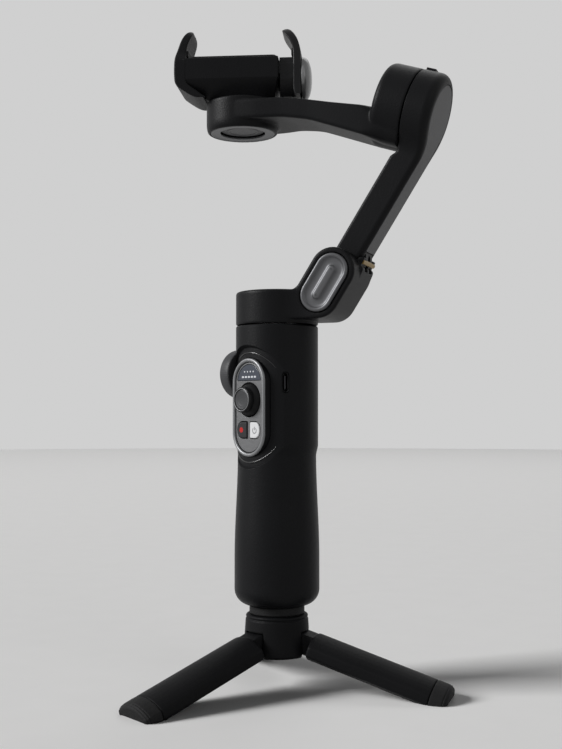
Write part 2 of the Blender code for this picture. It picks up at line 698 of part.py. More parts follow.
def make_panel():
    """Bezel, plate, indicator window, joystick and the two buttons."""
    inner_width = BEZEL_WIDTH - 2 * BEZEL_RIM
    inner_length = BEZEL_LENGTH - 2 * BEZEL_RIM
    outer_loop = pill(BEZEL_WIDTH, BEZEL_LENGTH, 0, PANEL_Z, points=15)
    inner_loop = pill(inner_width, inner_length, 0, PANEL_Z, points=15)
    bezel = outline_solid("bezel_ring", [outer_loop, inner_loop], -PANEL_FACE, -PANEL_FACE + BEZEL_DEPTH)
    finish(bezel, GREY_PLASTIC, HANDLE, HANDLE)
    loops = [
        pill(inner_width - 2 * SIDE_GAP, inner_length - 2 * SIDE_GAP, 0, PANEL_Z, points=15),
        arc(0, STICK_Z, STICK_HOLE_RADIUS, 0, 345, 24),
        half_button(-1, SIDE_GAP),
        half_button(1, SIDE_GAP),
        lens_outline(SEAT),
    ]
    plate = outline_solid("control_plate", loops, -PLATE_FACE, -PLATE_FACE + PLATE_THICKNESS)
    finish(plate, GREY_PLASTIC, HANDLE, HANDLE)
    lens = outline_solid("indicator_lens", [lens_outline(0)], -PLATE_FACE, -PLATE_FACE + PLATE_THICKNESS)
    finish(lens, SMOKED, HANDLE, HANDLE)
    for name, side, look in (("record_button", -1, RECORD_PLASTIC), ("power_button", 1, PALE_PLASTIC)):
        front = -PLATE_FACE - BUTTON_PROUD
        button = outline_solid(name, [half_button(side, 0)], front, front + BUTTON_DEPTH)
        finish(button, look, HANDLE, HANDLE)

    pivot = outward(0, -PLATE_FACE + STICK_PIVOT_DEPTH, STICK_Z)
    inner = STICK_SOCKET_RADIUS - STICK_SOCKET_WALL
    rim = STICK_PIVOT_DEPTH - PLATE_THICKNESS + SEAT
    socket = ring("joystick_socket", inner, STICK_SOCKET_RADIUS, -socket_back(), rim, pivot, 32)
    finish(socket, DARK_PLASTIC, HANDLE, HANDLE)
    yoke_frame = frame("joystick_yoke_axis", HANDLE.matrix_world @ pivot, HANDLE)
    half = YOKE_THICKNESS / 2
    yoke_hole = STICK_STEM_RADIUS + 0.7 * MM
    yoke = ring("joystick_yoke", yoke_hole, inner - RUN_GAP, -half, half, pivot, 32)
    finish(yoke, DARK_PLASTIC, yoke_frame, HANDLE)
    stick_frame = frame("joystick_axis", HANDLE.matrix_world @ pivot, yoke_frame)
    tip = STICK_PIVOT_DEPTH + STICK_REACH
    edge = 0.4 * MM
    under = tip - STICK_CAP
    profile = [
        (0, tip - edge),
        (STICK_RADIUS - 3 * edge, tip - edge),
        (STICK_RADIUS - 1.5 * edge, tip),
        (STICK_RADIUS, tip - edge),
        (STICK_RADIUS, under + edge),
        (STICK_RADIUS - 2 * edge, under),
        (STICK_STEM_RADIUS, under),
        (STICK_STEM_RADIUS, -half),
        (0, -half),
    ]
    finish(turned("joystick_cap", profile, pivot, 32), DARK_PLASTIC, stick_frame, HANDLE)


def make_port():
    """The charging socket: a pill-shaped metal sleeve with a tongue, lying along the grip."""
    z = GRIP_BASE + PORT_HEIGHT
    front = -GRIP_RADIUS + PORT_SINK
    place = Matrix.Rotation(PORT_ANGLE, 4, "Z")
    port = outline_solid("charge_port", [pill(PORT_WIDTH, PORT_LENGTH, 0, z)], front, front + PORT_DEPTH, place)
    inner_width = PORT_WIDTH - 2 * PORT_WALL
    inner_length = PORT_LENGTH - 2 * PORT_WALL
    back = front + PORT_DEPTH - 2 * PORT_WALL
    mouth = outline_solid("port_mouth", [pill(inner_width, inner_length, 0, z)], front - MM, back, place)
    half = PORT_TONGUE / 2
    reach = (inner_length - inner_width) / 2
    tongue = block("port_tongue", (-half, front + PORT_SINK, z - reach), (half, back + PORT_WALL, z + reach))
    tongue.matrix_basis = place
    cut(port, mouth)
    merge(port, tongue)
    finish(port, STEEL, HANDLE, HANDLE)


def make_wheel():
    """The zoom wheel on the grip's left side, its face disc and the bracket whose axle carries it."""
    z = WHEEL_Z
    turn = Matrix.Rotation(-math.pi / 2, 4, "Y")
    place = Matrix.Translation((-WHEEL_FACE, -WHEEL_FORWARD, z)) @ turn
    axis = frame("zoom_wheel_axis", HANDLE.matrix_world @ place, HANDLE)
    recess = WHEEL_DISC_RADIUS + SIDE_GAP
    floor = -WHEEL_DISC_THICKNESS - 2 * SEAT
    bore = AXLE_RADIUS + PIN_GAP
    profile = [
        (recess, 0),
        (WHEEL_RADIUS - WHEEL_EDGE, 0),
        (WHEEL_RADIUS, -WHEEL_EDGE),
        (WHEEL_RADIUS, WHEEL_EDGE - WHEEL_WIDTH),
        (WHEEL_RADIUS - WHEEL_EDGE, -WHEEL_WIDTH),
        (bore, -WHEEL_WIDTH),
        (bore, floor),
        (recess, floor),
    ]
    finish(turned("zoom_wheel", profile, place, 48, closed=True), DARK_PLASTIC, axis, HANDLE)
    face = -SEAT
    disc_back = face - WHEEL_DISC_THICKNESS
    disc = turned(
        "zoom_wheel_disc",
        [(0, face), (WHEEL_DISC_RADIUS, face), (WHEEL_DISC_RADIUS, disc_back), (0, disc_back)],
        place,
        48,
    )
    finish(disc, GREY_PLASTIC, axis, HANDLE)
    plate_x = -WHEEL_FACE + WHEEL_WIDTH + RUN_GAP + SIDE_GAP
    bracket = rod(
        "wheel_bracket",
        (plate_x, -WHEEL_FORWARD, z),
        (plate_x + BRACKET_THICKNESS, -WHEEL_FORWARD, z),
        WHEEL_RADIUS,
        48,
    )
    trim = rod(
        "bracket_trim",
        (0, 0, z - 2 * WHEEL_RADIUS),
        (0, 0, z + 2 * WHEEL_RADIUS),
        GRIP_BORE - SIDE_GAP,
        56,
    )
    axle = rod(
        "wheel_axle",
        (-WHEEL_FACE - floor + SEAT, -WHEEL_FORWARD, z),
        (plate_x + BRACKET_THICKNESS / 2, -WHEEL_FORWARD, z),
        AXLE_RADIUS,
    )
    boolean(bracket, trim, "INTERSECT")
    merge(bracket, axle)
    finish(bracket, DARK_PLASTIC, HANDLE, HANDLE)


def make_pan_motor():
    """The pan motor's stator and bearing in the grip's mouth."""
    low = PAN_STATOR_LOW
    high = low + PAN_STATOR_HEIGHT
    stator = ring("pan_stator", STATOR_BORE, GRIP_BORE - RUN_GAP, low, high, steps=36)
    finish(stator, COPPER, HANDLE, HANDLE)
    bearing = ring("pan_bearing", SHAFT_BORE, STATOR_BORE - SIDE_GAP, low, high, steps=32)
    finish(bearing, STEEL, HANDLE, HANDLE)


PAN = frame("pan_axis", Matrix.Translation((0, 0, PAN_BASE)))
LEAN_ACROSS = Vector((math.cos(ELBOW_LEAN), 0, -math.sin(ELBOW_LEAN)))
LEAN_ALONG = Vector((math.sin(ELBOW_LEAN), 0, math.cos(ELBOW_LEAN)))
ELBOW_LOW = Vector((ELBOW_REACH, 0, PAN_BASE + ELBOW_RISE))
ELBOW_HIGH = ELBOW_LOW + LEAN_ALONG * ELBOW_SPAN
ELBOW_MID = (ELBOW_LOW + ELBOW_HIGH) / 2
FOLD_PIN = ELBOW_HIGH + LEAN_ACROSS * FOLD_PIN_ACROSS + LEAN_ALONG * FOLD_PIN_ABOVE
ELBOW_FRONT = -ELBOW_DEPTH / 2
ELBOW_BACK = ELBOW_DEPTH / 2
CHEEK_BACK = ELBOW_FRONT + CHEEK_DEPTH


def from_pin(across, along):
    """An X-Z point given across and along the arm from the fold pin."""
    point = FOLD_PIN + LEAN_ACROSS * across + LEAN_ALONG * along
    return (point.x, point.z)


def elbow_outline():
    """The elbow from the side: a leaning pill that runs into the pan housing with a fillet."""
    turn = math.degrees(ELBOW_LEAN)
    start = PAN_WALL + MM
    top = PAN_TOP - SIDE_GAP
    bottom = arc(ELBOW_LOW.x, ELBOW_LOW.z, ELBOW_RADIUS, -90, -turn, 6)
    crown = arc(ELBOW_HIGH.x, ELBOW_HIGH.z, ELBOW_RADIUS, -turn, 180 - turn, 15)
    corner = ELBOW_LOW - LEAN_ACROSS * (ELBOW_RADIUS + ELBOW_FILLET)
    slide = (top + ELBOW_FILLET - corner.z) / LEAN_ALONG.z
    corner += LEAN_ALONG * slide
    fillet = arc(corner.x, corner.z, ELBOW_FILLET, -turn, -90, 6)
    return [(start, ELBOW_LOW.z - ELBOW_RADIUS)] + bottom + crown + fillet + [(start, top)]


def lug_outline(direction, root):
    """A hinge lug round the fold pin: a round eye on a stem that runs along or against the arm."""
    turn = math.degrees(ELBOW_LEAN)
    flip = 0 if direction < 0 else 180
    eye = arc(FOLD_PIN.x, FOLD_PIN.z, FOLD_LUG_RADIUS, flip - turn, flip + 180 - turn, 9)
    stem = [(-direction * -FOLD_LUG_RADIUS, direction * root), (direction * -FOLD_LUG_RADIUS, direction * root)]
    return eye + [from_pin(across, along) for across, along in stem]


def arm_near():
    """The arm's front plane."""
    return CHEEK_BACK + RUN_GAP


def lug_spans():
    """Y spans along the fold pin: the elbow's two lugs, and between them the arm's two lugs."""
    near = arm_near()
    far = near + ARM_DEPTH
    elbow = [(CHEEK_BACK - MM, near + FOLD_LUG_LENGTH), (far - FOLD_LUG_LENGTH, far)]
    arm = [
        (near + FOLD_LUG_LENGTH + SIDE_GAP, near + 2 * FOLD_LUG_LENGTH),
        (far - 2 * FOLD_LUG_LENGTH, far - FOLD_LUG_LENGTH - SIDE_GAP),
    ]
    return elbow, arm


def make_pan_unit():
    """The pan housing with its elbow, the lock button, the fold pin and the motor's turning half."""
    profile = [(0, PAN_TOP), (GRIP_RADIUS - PAN_EDGE, PAN_TOP)]
    profile += arc(GRIP_RADIUS - PAN_EDGE, PAN_TOP - PAN_EDGE, PAN_EDGE, 60, 0, 3)
    profile += [(GRIP_RADIUS, PAN_BASE), (0, PAN_BASE)]
    housing = turned("pan_housing", profile, steps=56)
    elbow = outline_solid("elbow", [elbow_outline()], ELBOW_FRONT, ELBOW_BACK)
    far = 3 * ELBOW_RADIUS
    step = [(-far, -FOLD_SPLIT), (far, -FOLD_SPLIT), (far, far), (-far, far)]
    seat = outline_solid("arm_seat", [[from_pin(*point) for point in step]], CHEEK_BACK, 2 * ELBOW_BACK)
    bore = GRIP_RADIUS - PAN_WALL
    cavity = rod("pan_cavity", (0, 0, GRIP_BASE), (0, 0, PAN_TOP - PAN_WALL), bore, 56)
    recess = pill(LOCK_WIDTH + 2 * SIDE_GAP, LOCK_LENGTH + 2 * SIDE_GAP, ELBOW_MID.x, ELBOW_MID.z, ELBOW_LEAN)
    lock_back = ELBOW_FRONT - LOCK_PROUD + LOCK_THICKNESS
    pocket = outline_solid("lock_pocket", [recess], 2 * ELBOW_FRONT, lock_back + LOCK_TRAVEL + RUN_GAP)
    merge(housing, elbow)
    cut(housing, seat)
    elbow_spans, arm_spans = lug_spans()
    for index, (low, high) in enumerate(elbow_spans, 1):
        merge(housing, outline_solid(f"elbow_lug_{index}", [lug_outline(-1, FOLD_LUG_ROOT)], low, high))
    for index, (low, high) in enumerate(arm_spans, 1):
        start = (FOLD_PIN.x, low - SIDE_GAP, FOLD_PIN.z)
        end = (FOLD_PIN.x, high + SIDE_GAP, FOLD_PIN.z)
        cut(housing, rod(f"lug_room_{index}", start, end, math.hypot(FOLD_LUG_RADIUS, ARM_LUG_ROOT) + RUN_GAP))
    pin_near = CHEEK_BACK
    pin_far = arm_near() + ARM_DEPTH - SIDE_GAP
    start = (FOLD_PIN.x, pin_near, FOLD_PIN.z)
    end = (FOLD_PIN.x, pin_far, FOLD_PIN.z)
    hole_end = (FOLD_PIN.x, pin_far + MM, FOLD_PIN.z)
    hole_start = (FOLD_PIN.x, pin_near - SIDE_GAP, FOLD_PIN.z)
    cut(housing, cavity, pocket, rod("fold_pin_hole", hole_start, hole_end, FOLD_PIN_RADIUS + PIN_GAP))
    finish(housing, BLACK_PLASTIC, PAN)
    finish(rod("fold_pin", start, end, FOLD_PIN_RADIUS), BRASS, PAN)

    button_loop = pill(LOCK_WIDTH, LOCK_LENGTH, ELBOW_MID.x, ELBOW_MID.z, ELBOW_LEAN)
    front = ELBOW_FRONT - LOCK_PROUD
    button = outline_solid("fold_lock_button", [button_loop], front, lock_back)
    groove = outline_solid(
        "lock_groove",
        [
            pill(LOCK_GROOVE_WIDTH, LOCK_GROOVE_LENGTH, ELBOW_MID.x, ELBOW_MID.z, ELBOW_LEAN),
            pill(LOCK_BAR_WIDTH, LOCK_BAR_LENGTH, ELBOW_MID.x, ELBOW_MID.z, ELBOW_LEAN),
        ],
        front - MM,
        front + LOCK_GROOVE_DEPTH,
    )
    cut(button, groove)
    finish(button, GUNMETAL, PAN)

    roof = PAN_TOP - PAN_WALL
    outer = SHAFT_BORE - SIDE_GAP
    shaft = ring("pan_shaft", outer - PAN_SHAFT_WALL, outer, PAN_STATOR_LOW, roof - SEAT, steps=32)
    finish(shaft, STEEL, PAN)
    rotor = ring("pan_rotor", outer + SIDE_GAP, bore - RUN_GAP, PAN_BASE + 2 * MM, roof - SEAT, steps=36)
    finish(rotor, STEEL, PAN)


FOLD = frame("fold_axis", Matrix.Translation(FOLD_PIN), PAN)
ARM_MIDDLE = arm_near() + ARM_DEPTH / 2
DRUM_MIDDLE = FOLD_PIN + LEAN_ACROSS * DRUM_ACROSS + LEAN_ALONG * DRUM_ALONG + Vector((0, ARM_MIDDLE, 0))
DRUM_AXIS = Vector((math.cos(DRUM_DIP), 0, -math.sin(DRUM_DIP)))
DRUM_UP = Vector((math.sin(DRUM_DIP), 0, math.cos(DRUM_DIP)))
DRUM_PLACE = Matrix.Translation(DRUM_MIDDLE) @ Matrix.Rotation(math.pi / 2 + DRUM_DIP, 4, "Y")
TILT = frame("tilt_axis", DRUM_PLACE, FOLD)


def on_drum(along, up):
    """An X-Z point given along the drum's axis and square to it from the seam's middle."""
    point = DRUM_MIDDLE + DRUM_AXIS * along + DRUM_UP * up
    return (point.x, point.z)


def drum_half(length):
    """The profile of half the tilt drum: a round barrel with a rounded end."""
    profile = [(0, length)]
    profile += arc(DRUM_RADIUS - DRUM_ROUND, length - DRUM_ROUND, DRUM_ROUND, 90, 0, 5)
    profile += [(DRUM_RADIUS, DRUM_SEAM / 2), (0, DRUM_SEAM / 2)]
    return profile


def make_upper_arm():
    """The upper arm with the drum's outer half, its cover strip and the tilt stator."""
    left = -ARM_INSET - ARM_WIDTH
    root = -FOLD_SPLIT + SIDE_GAP
    shoulder = DRUM_RADIUS * 0.66
    outline = [
        from_pin(-ARM_INSET, root),
        from_pin(-ARM_INSET, ARM_LENGTH),
        on_drum(DRUM_OUTER_LENGTH, -shoulder),
        on_drum(DRUM_OUTER_LENGTH - DRUM_ROUND, 0),
        on_drum(DRUM_SEAM, 0),
        on_drum(DRUM_SEAM, -DRUM_RADIUS - RUN_GAP),
        from_pin(left, ARM_LENGTH - DRUM_ROUND),
        from_pin(left, root),
    ]
    near = arm_near()
    far = near + ARM_DEPTH
    arm = outline_solid("upper_arm", [outline], near, far)
    barrel = turned("arm_drum", drum_half(DRUM_OUTER_LENGTH), DRUM_PLACE, 56)
    merge(arm, barrel)
    elbow_spans, arm_spans = lug_spans()
    for index, (low, high) in enumerate(elbow_spans, 1):
        start = (FOLD_PIN.x, low - SIDE_GAP / 2, FOLD_PIN.z)
        end = (FOLD_PIN.x, high + SIDE_GAP / 2, FOLD_PIN.z)
        cut(arm, rod(f"elbow_lug_room_{index}", start, end, math.hypot(FOLD_LUG_RADIUS, FOLD_SPLIT) + RUN_GAP))
    pin_hole = arc(FOLD_PIN.x, FOLD_PIN.z, FOLD_PIN_RADIUS + PIN_GAP, 0, 345, 24)
    for index, (low, high) in enumerate(arm_spans, 1):
        merge(arm, outline_solid(f"arm_lug_{index}", [lug_outline(1, ARM_LUG_ROOT), pin_hole], low, high))
    bore = DRUM_RADIUS - DRUM_WALL
    back = DRUM_MIDDLE - DRUM_AXIS * DRUM_WALL
    cut(arm, rod("arm_drum_cavity", back, DRUM_MIDDLE + DRUM_AXIS * (DRUM_OUTER_LENGTH - DRUM_WALL), bore, 56))
    cut(arm, cover_shape("cover_room", SIDE_GAP, SEAT, DRUM_ROUND))
    finish(arm, BLACK_PLASTIC, FOLD)
    finish(cover_shape("arm_cover", 0, 0, 0), DARK_PLASTIC, FOLD)
    shaft = MOTOR_SHAFT_RADIUS + RUN_GAP
    depth = DRUM_OUTER_LENGTH - DRUM_WALL - SIDE_GAP
    stator = ring("tilt_stator", shaft, bore - RUN_GAP, 3 * DRUM_SEAM, depth, DRUM_PLACE, 36)
    finish(stator, COPPER, FOLD)


def cover_shape(name, grow, deeper, proud):
    """The cover of the arm's outer face: a bent strip up the arm and a disc on the drum's end."""
    depth = COVER_THICKNESS + deeper
    low = ARM_LUG_ROOT + 2 * SIDE_GAP - grow
    end = DRUM_OUTER_LENGTH
    knee = -DRUM_RADIUS * 0.66
    loop = [
        from_pin(-ARM_INSET - depth, low),
        from_pin(-ARM_INSET + proud, low),
        from_pin(-ARM_INSET + proud, ARM_LENGTH),
        on_drum(end + proud, knee),
        on_drum(end + proud, 0),
        on_drum(end - depth, 0),
        on_drum(end - depth, knee),
        from_pin(-ARM_INSET - depth, ARM_LENGTH),
    ]
    half = COVER_WIDTH / 2 + grow
    strip = outline_solid(name, [loop], ARM_MIDDLE - half, ARM_MIDDLE + half)
    start = DRUM_MIDDLE + DRUM_AXIS * (end - depth)
    disc = rod(f"{name}_disc", start, DRUM_MIDDLE + DRUM_AXIS * (end + proud), COVER_DISC_RADIUS + grow, 48)
    merge(strip, disc)
    return strip


ROLL_X = DRUM_MIDDLE.x + ROLL_ACROSS
ROLL_Z = DRUM_MIDDLE.z + ROLL_TOP
ROLL_FLOOR = ROLL_Z - ROLL_HEIGHT
ROLL_AT = Matrix.Translation((ROLL_X, ARM_MIDDLE, 0))
ROLL = frame("roll_axis", ROLL_AT @ Matrix.Rotation(CRADLE_TURN, 4, "Z"), TILT)


def roll_deck():
    """The floor of the roll motor's cavity, over its cap ring and disc."""
    return ROLL_FLOOR + ROLL_RING_THICKNESS + ROLL_DISC_THICKNESS + 2 * SEAT


def make_roll_arm():
    """The roll arm from the drum's inner half to the roll motor, with the motor halves it holds."""
    top = ROLL_Z - ROLL_ARM_DROP
    under = top - ROLL_ARM_THICKNESS
    start = ROLL_X + ROLL_RADIUS + ROLL_ARM_SINK
    root_x, root_z = on_drum(-DRUM_INNER_LENGTH - DRUM_ROUND, -ROLL_ARM_SINK)
    outline = [
        (ROLL_X, under),
        (start, under),
        (root_x, root_z - ROLL_ARM_ROOT),
        on_drum(-DRUM_INNER_LENGTH / 2, -DRUM_RADIUS + DRUM_WALL / 2),
        on_drum(-2 * DRUM_SEAM, -DRUM_RADIUS / 2),
        on_drum(-2 * DRUM_SEAM, 0),
        on_drum(-DRUM_INNER_LENGTH / 2, -ROLL_ARM_SINK + MM),
        (root_x, root_z),
        (start, top - MM),
        (ROLL_X, top),
    ]
    half = ROLL_ARM_DEPTH / 2
    arm = outline_solid("roll_arm", [outline], ARM_MIDDLE - half, ARM_MIDDLE + half)
    flip = DRUM_PLACE @ Matrix.Rotation(math.pi, 4, "X")
    barrel = turned("roll_drum", drum_half(DRUM_INNER_LENGTH), flip, 56)
    edge = 0.6 * MM
    rim = ROLL_RING_RADIUS + 0.7 * MM
    profile = [
        (0, ROLL_Z),
        (ROLL_RADIUS - edge, ROLL_Z),
        (ROLL_RADIUS, ROLL_Z - edge),
        (ROLL_RADIUS, ROLL_FLOOR + 4 * MM),
        (ROLL_RADIUS - edge, ROLL_FLOOR + 1.6 * MM),
        (rim, ROLL_FLOOR),
        (0, ROLL_FLOOR),
    ]
    motor = turned("roll_motor_case", profile, ROLL_AT, 48)
    merge(arm, barrel, motor)
    bore = ROLL_RADIUS - ROLL_WALL
    deck = roll_deck()
    groove = ROLL_FLOOR + ROLL_RING_THICKNESS + SEAT
    axis = (ROLL_X, ARM_MIDDLE)
    cavity = rod("roll_cavity", (*axis, deck), (*axis, 2 * ROLL_Z), bore, 48)
    ring_room = rod("roll_ring_room", (*axis, 0), (*axis, groove), ROLL_RING_RADIUS + SEAT, 48)
    disc_room = rod("roll_disc_room", (*axis, groove - MM), (*axis, deck + MM), ROLL_DISC_RADIUS + SIDE_GAP, 40)
    drum_bore = DRUM_RADIUS - DRUM_WALL
    front = DRUM_MIDDLE + DRUM_AXIS * DRUM_WALL
    drum_room = rod(
        "roll_drum_cavity",
        front,
        DRUM_MIDDLE - DRUM_AXIS * (DRUM_INNER_LENGTH - DRUM_WALL),
        drum_bore,
        56,
    )
    cut(arm, cavity, ring_room, disc_room, drum_room)
    finish(arm, BLACK_PLASTIC, TILT)

    depth = DRUM_INNER_LENGTH - DRUM_WALL - SIDE_GAP
    rotor = ring(
        "tilt_rotor",
        MOTOR_SHAFT_RADIUS + SIDE_GAP,
        drum_bore - RUN_GAP,
        -depth,
        -2 * DRUM_SEAM,
        DRUM_PLACE,
        36,
    )
    finish(rotor, STEEL, TILT)
    shaft_far = DRUM_MIDDLE + DRUM_AXIS * (DRUM_OUTER_LENGTH - DRUM_WALL - SIDE_GAP)
    shaft = rod("tilt_shaft", DRUM_MIDDLE - DRUM_AXIS * depth, shaft_far, MOTOR_SHAFT_RADIUS)
    finish(shaft, STEEL, TILT)

    low = ROLL_FLOOR + SEAT / 2
    cap_ring = ring(
        "roll_cap_ring",
        ROLL_RING_RADIUS - ROLL_RING_WIDTH,
        ROLL_RING_RADIUS,
        low,
        low + ROLL_RING_THICKNESS,
        ROLL_AT,
    )
    finish(cap_ring, GUNMETAL, TILT)
    cap_disc = rod(
        "roll_cap_disc",
        (*axis, groove),
        (*axis, groove + ROLL_DISC_THICKNESS),
        ROLL_DISC_RADIUS,
        40,
    )
    finish(cap_disc, GUNMETAL, TILT)
    stator_high = ROLL_Z - ROLL_ROTOR_DEPTH - 2 * RUN_GAP
    shaft_room = MOTOR_SHAFT_RADIUS + RUN_GAP
    stator = ring("roll_stator", shaft_room, bore - RUN_GAP, deck + SIDE_GAP, stator_high, ROLL_AT, 36)
    finish(stator, COPPER, TILT)


CRADLE_BASE = ROLL_Z + CRADLE_GAP
CRADLE_TOP = CRADLE_BASE + CRADLE_HEIGHT
FACE_LOW = CRADLE_TOP - CRADLE_FACE
PAD_TOP = CRADLE_TOP + SEAT / 2 + CRADLE_PAD
JAW_INNER = -CRADLE_LEFT - SIDE_GAP
JAW_OUTER = JAW_INNER + JAW_OPENING
JAW = frame("jaw_slide", ROLL.matrix_world, ROLL)


def hook_outline(inner, low, side, thickness, lean):
    """A jaw's hook from its inner foot over the tip to its outer face: side is +1 when it hooks to +X."""
    outer = inner - side * thickness
    bend = PAD_TOP + JAW_PAD_HEIGHT
    tip = PAD_TOP + JAW_HOOK
    slim = min(thickness, 3.4 * MM)
    return [
        (inner, low),
        (inner, bend),
        (inner + side * lean, tip - JAW_TIP),
        (inner + side * lean, tip - JAW_TIP / 2),
        (inner + side * (lean - JAW_TIP / 4), tip),
        (inner + side * (lean - JAW_TIP), tip),
        (inner + side * (lean / 2 - slim), (bend + tip) / 2 + JAW_TIP / 2),
        (outer + side * thickness / 8, bend - JAW_TIP),
        (outer, FACE_LOW),
    ]


def make_cradle():
    """The cradle on the roll shaft: its body, pad and fixed jaw."""
    end_low = FACE_LOW - 2 * MM
    body_loop = [
        (-CRADLE_LEFT, CRADLE_TOP),
        (CRADLE_RIGHT, CRADLE_TOP),
        (CRADLE_RIGHT, FACE_LOW),
        (CRADLE_NECK, CRADLE_BASE),
        (-CRADLE_NECK, CRADLE_BASE),
        (-CRADLE_LEFT, end_low),
    ]
    half = CRADLE_DEPTH / 2
    body = outline_solid("cradle_body", [body_loop], -half, half)
    roof = CRADLE_TOP - SLIDE_ROOF
    side = SLIDE_WIDTH / 2 + RUN_GAP
    channel = block(
        "slide_channel",
        (JAW_OUTER - SLIDE_OVERLAP - 2 * MM, -side, roof - SLIDE_THICKNESS - 2 * RUN_GAP),
        (2 * CRADLE_RIGHT, side, roof),
    )
    cut(body, channel)
    finish(body, BLACK_PLASTIC, ROLL, ROLL)
    margin = CRADLE_PAD_MARGIN
    pad = block(
        "cradle_pad",
        (-CRADLE_LEFT + margin, margin - half, PAD_TOP - CRADLE_PAD),
        (CRADLE_RIGHT - margin, half - margin, PAD_TOP),
    )
    finish(pad, RUBBER, ROLL, ROLL)
    slope = (end_low - CRADLE_BASE) / (CRADLE_LEFT - CRADLE_NECK)
    corner = end_low - SIDE_GAP
    toe = JAW_INNER + (corner - CRADLE_BASE) / slope
    jaw_loop = hook_outline(JAW_INNER, corner, 1, FIXED_JAW_THICKNESS, FIXED_JAW_LEAN)
    jaw_loop += [
        (JAW_INNER - FIXED_JAW_THICKNESS, end_low - MM),
        (toe - FIXED_JAW_THICKNESS, CRADLE_BASE),
        (toe, CRADLE_BASE),
    ]
    jaw_half = JAW_DEPTH / 2
    finish(outline_solid("fixed_jaw", [jaw_loop], -jaw_half, jaw_half), BLACK_PLASTIC, ROLL, ROLL)
    make_jaw_pad("fixed_jaw_pad", JAW_INNER + SEAT / 2, ROLL)
    rotor = ring(
        "roll_rotor",
        MOTOR_SHAFT_RADIUS + SIDE_GAP,
        ROLL_RADIUS - ROLL_WALL - RUN_GAP,
        ROLL_Z - ROLL_ROTOR_DEPTH,
        ROLL_Z,
        None,
        36,
    )
    finish(rotor, STEEL, ROLL, ROLL)
    low = roll_deck() + SIDE_GAP
    shaft = rod("roll_shaft", (0, 0, low), (0, 0, CRADLE_BASE - SEAT), MOTOR_SHAFT_RADIUS)
    finish(shaft, STEEL, ROLL, ROLL)


def make_jaw_pad(name, left, holder):
    """A thin rubber pad on the upright inner face of a jaw, above the cradle's pad."""
    low = PAD_TOP + SIDE_GAP
    half = JAW_DEPTH / 2 - CRADLE_PAD_MARGIN
    high = low + JAW_PAD_HEIGHT - 2 * SIDE_GAP
    finish(block(name, (left, -half, low), (left + JAW_PAD, half, high)), RUBBER, holder, ROLL)


def make_sliding_jaw():
    """The sliding jaw: a hook and a shoulder on a flat slide, its pad and its oval end cap."""
    half = JAW_DEPTH / 2
    low = FACE_LOW - 3 * MM
    loop = hook_outline(JAW_OUTER, low, -1, SLIDING_JAW_THICKNESS, SLIDING_JAW_LEAN)
    loop += [(JAW_OUTER + SLIDING_JAW_THICKNESS, low)]
    jaw = outline_solid("sliding_jaw", [loop], -half, half)
    roof = CRADLE_TOP - SLIDE_ROOF - RUN_GAP
    slide = block(
        "jaw_slide_bar",
        (JAW_OUTER - SLIDE_OVERLAP, -SLIDE_WIDTH / 2, roof - SLIDE_THICKNESS),
        (JAW_OUTER + MM, SLIDE_WIDTH / 2, roof),
    )
    shoulder = block(
        "jaw_shoulder",
        (CRADLE_RIGHT + RUN_GAP, SIDE_GAP - half, low + SIDE_GAP),
        (JAW_OUTER + MM, half - SIDE_GAP, CRADLE_TOP - SIDE_GAP),
    )
    merge(jaw, slide, shoulder)
    finish(jaw, BLACK_PLASTIC, JAW, ROLL)
    make_jaw_pad("sliding_jaw_pad", JAW_OUTER - SEAT / 2 - JAW_PAD, JAW)
    face = JAW_OUTER + SLIDING_JAW_THICKNESS + SEAT / 2
    place = Matrix.Translation((face, 0, FACE_LOW + 2 * MM)) @ Matrix.Rotation(math.pi / 2, 4, "Y")
    profile = [
        (0, CAP_DOME),
        (0.62 * CAP_RADIUS, 0.92 * CAP_DOME),
        (0.88 * CAP_RADIUS, 0.66 * CAP_DOME),
        (CAP_RADIUS, 0.2 * CAP_DOME),
        (CAP_RADIUS, 0),
        (0, 0),
    ]
    finish(turned("jaw_cap", profile, place, 32), GREY_PLASTIC, JAW, ROLL)


make_tripod()
make_grip()
make_panel()
make_port()
make_wheel()
make_pan_motor()
make_pan_unit()
make_upper_arm()
make_roll_arm()
make_cradle()
make_sliding_jaw()
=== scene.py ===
import math

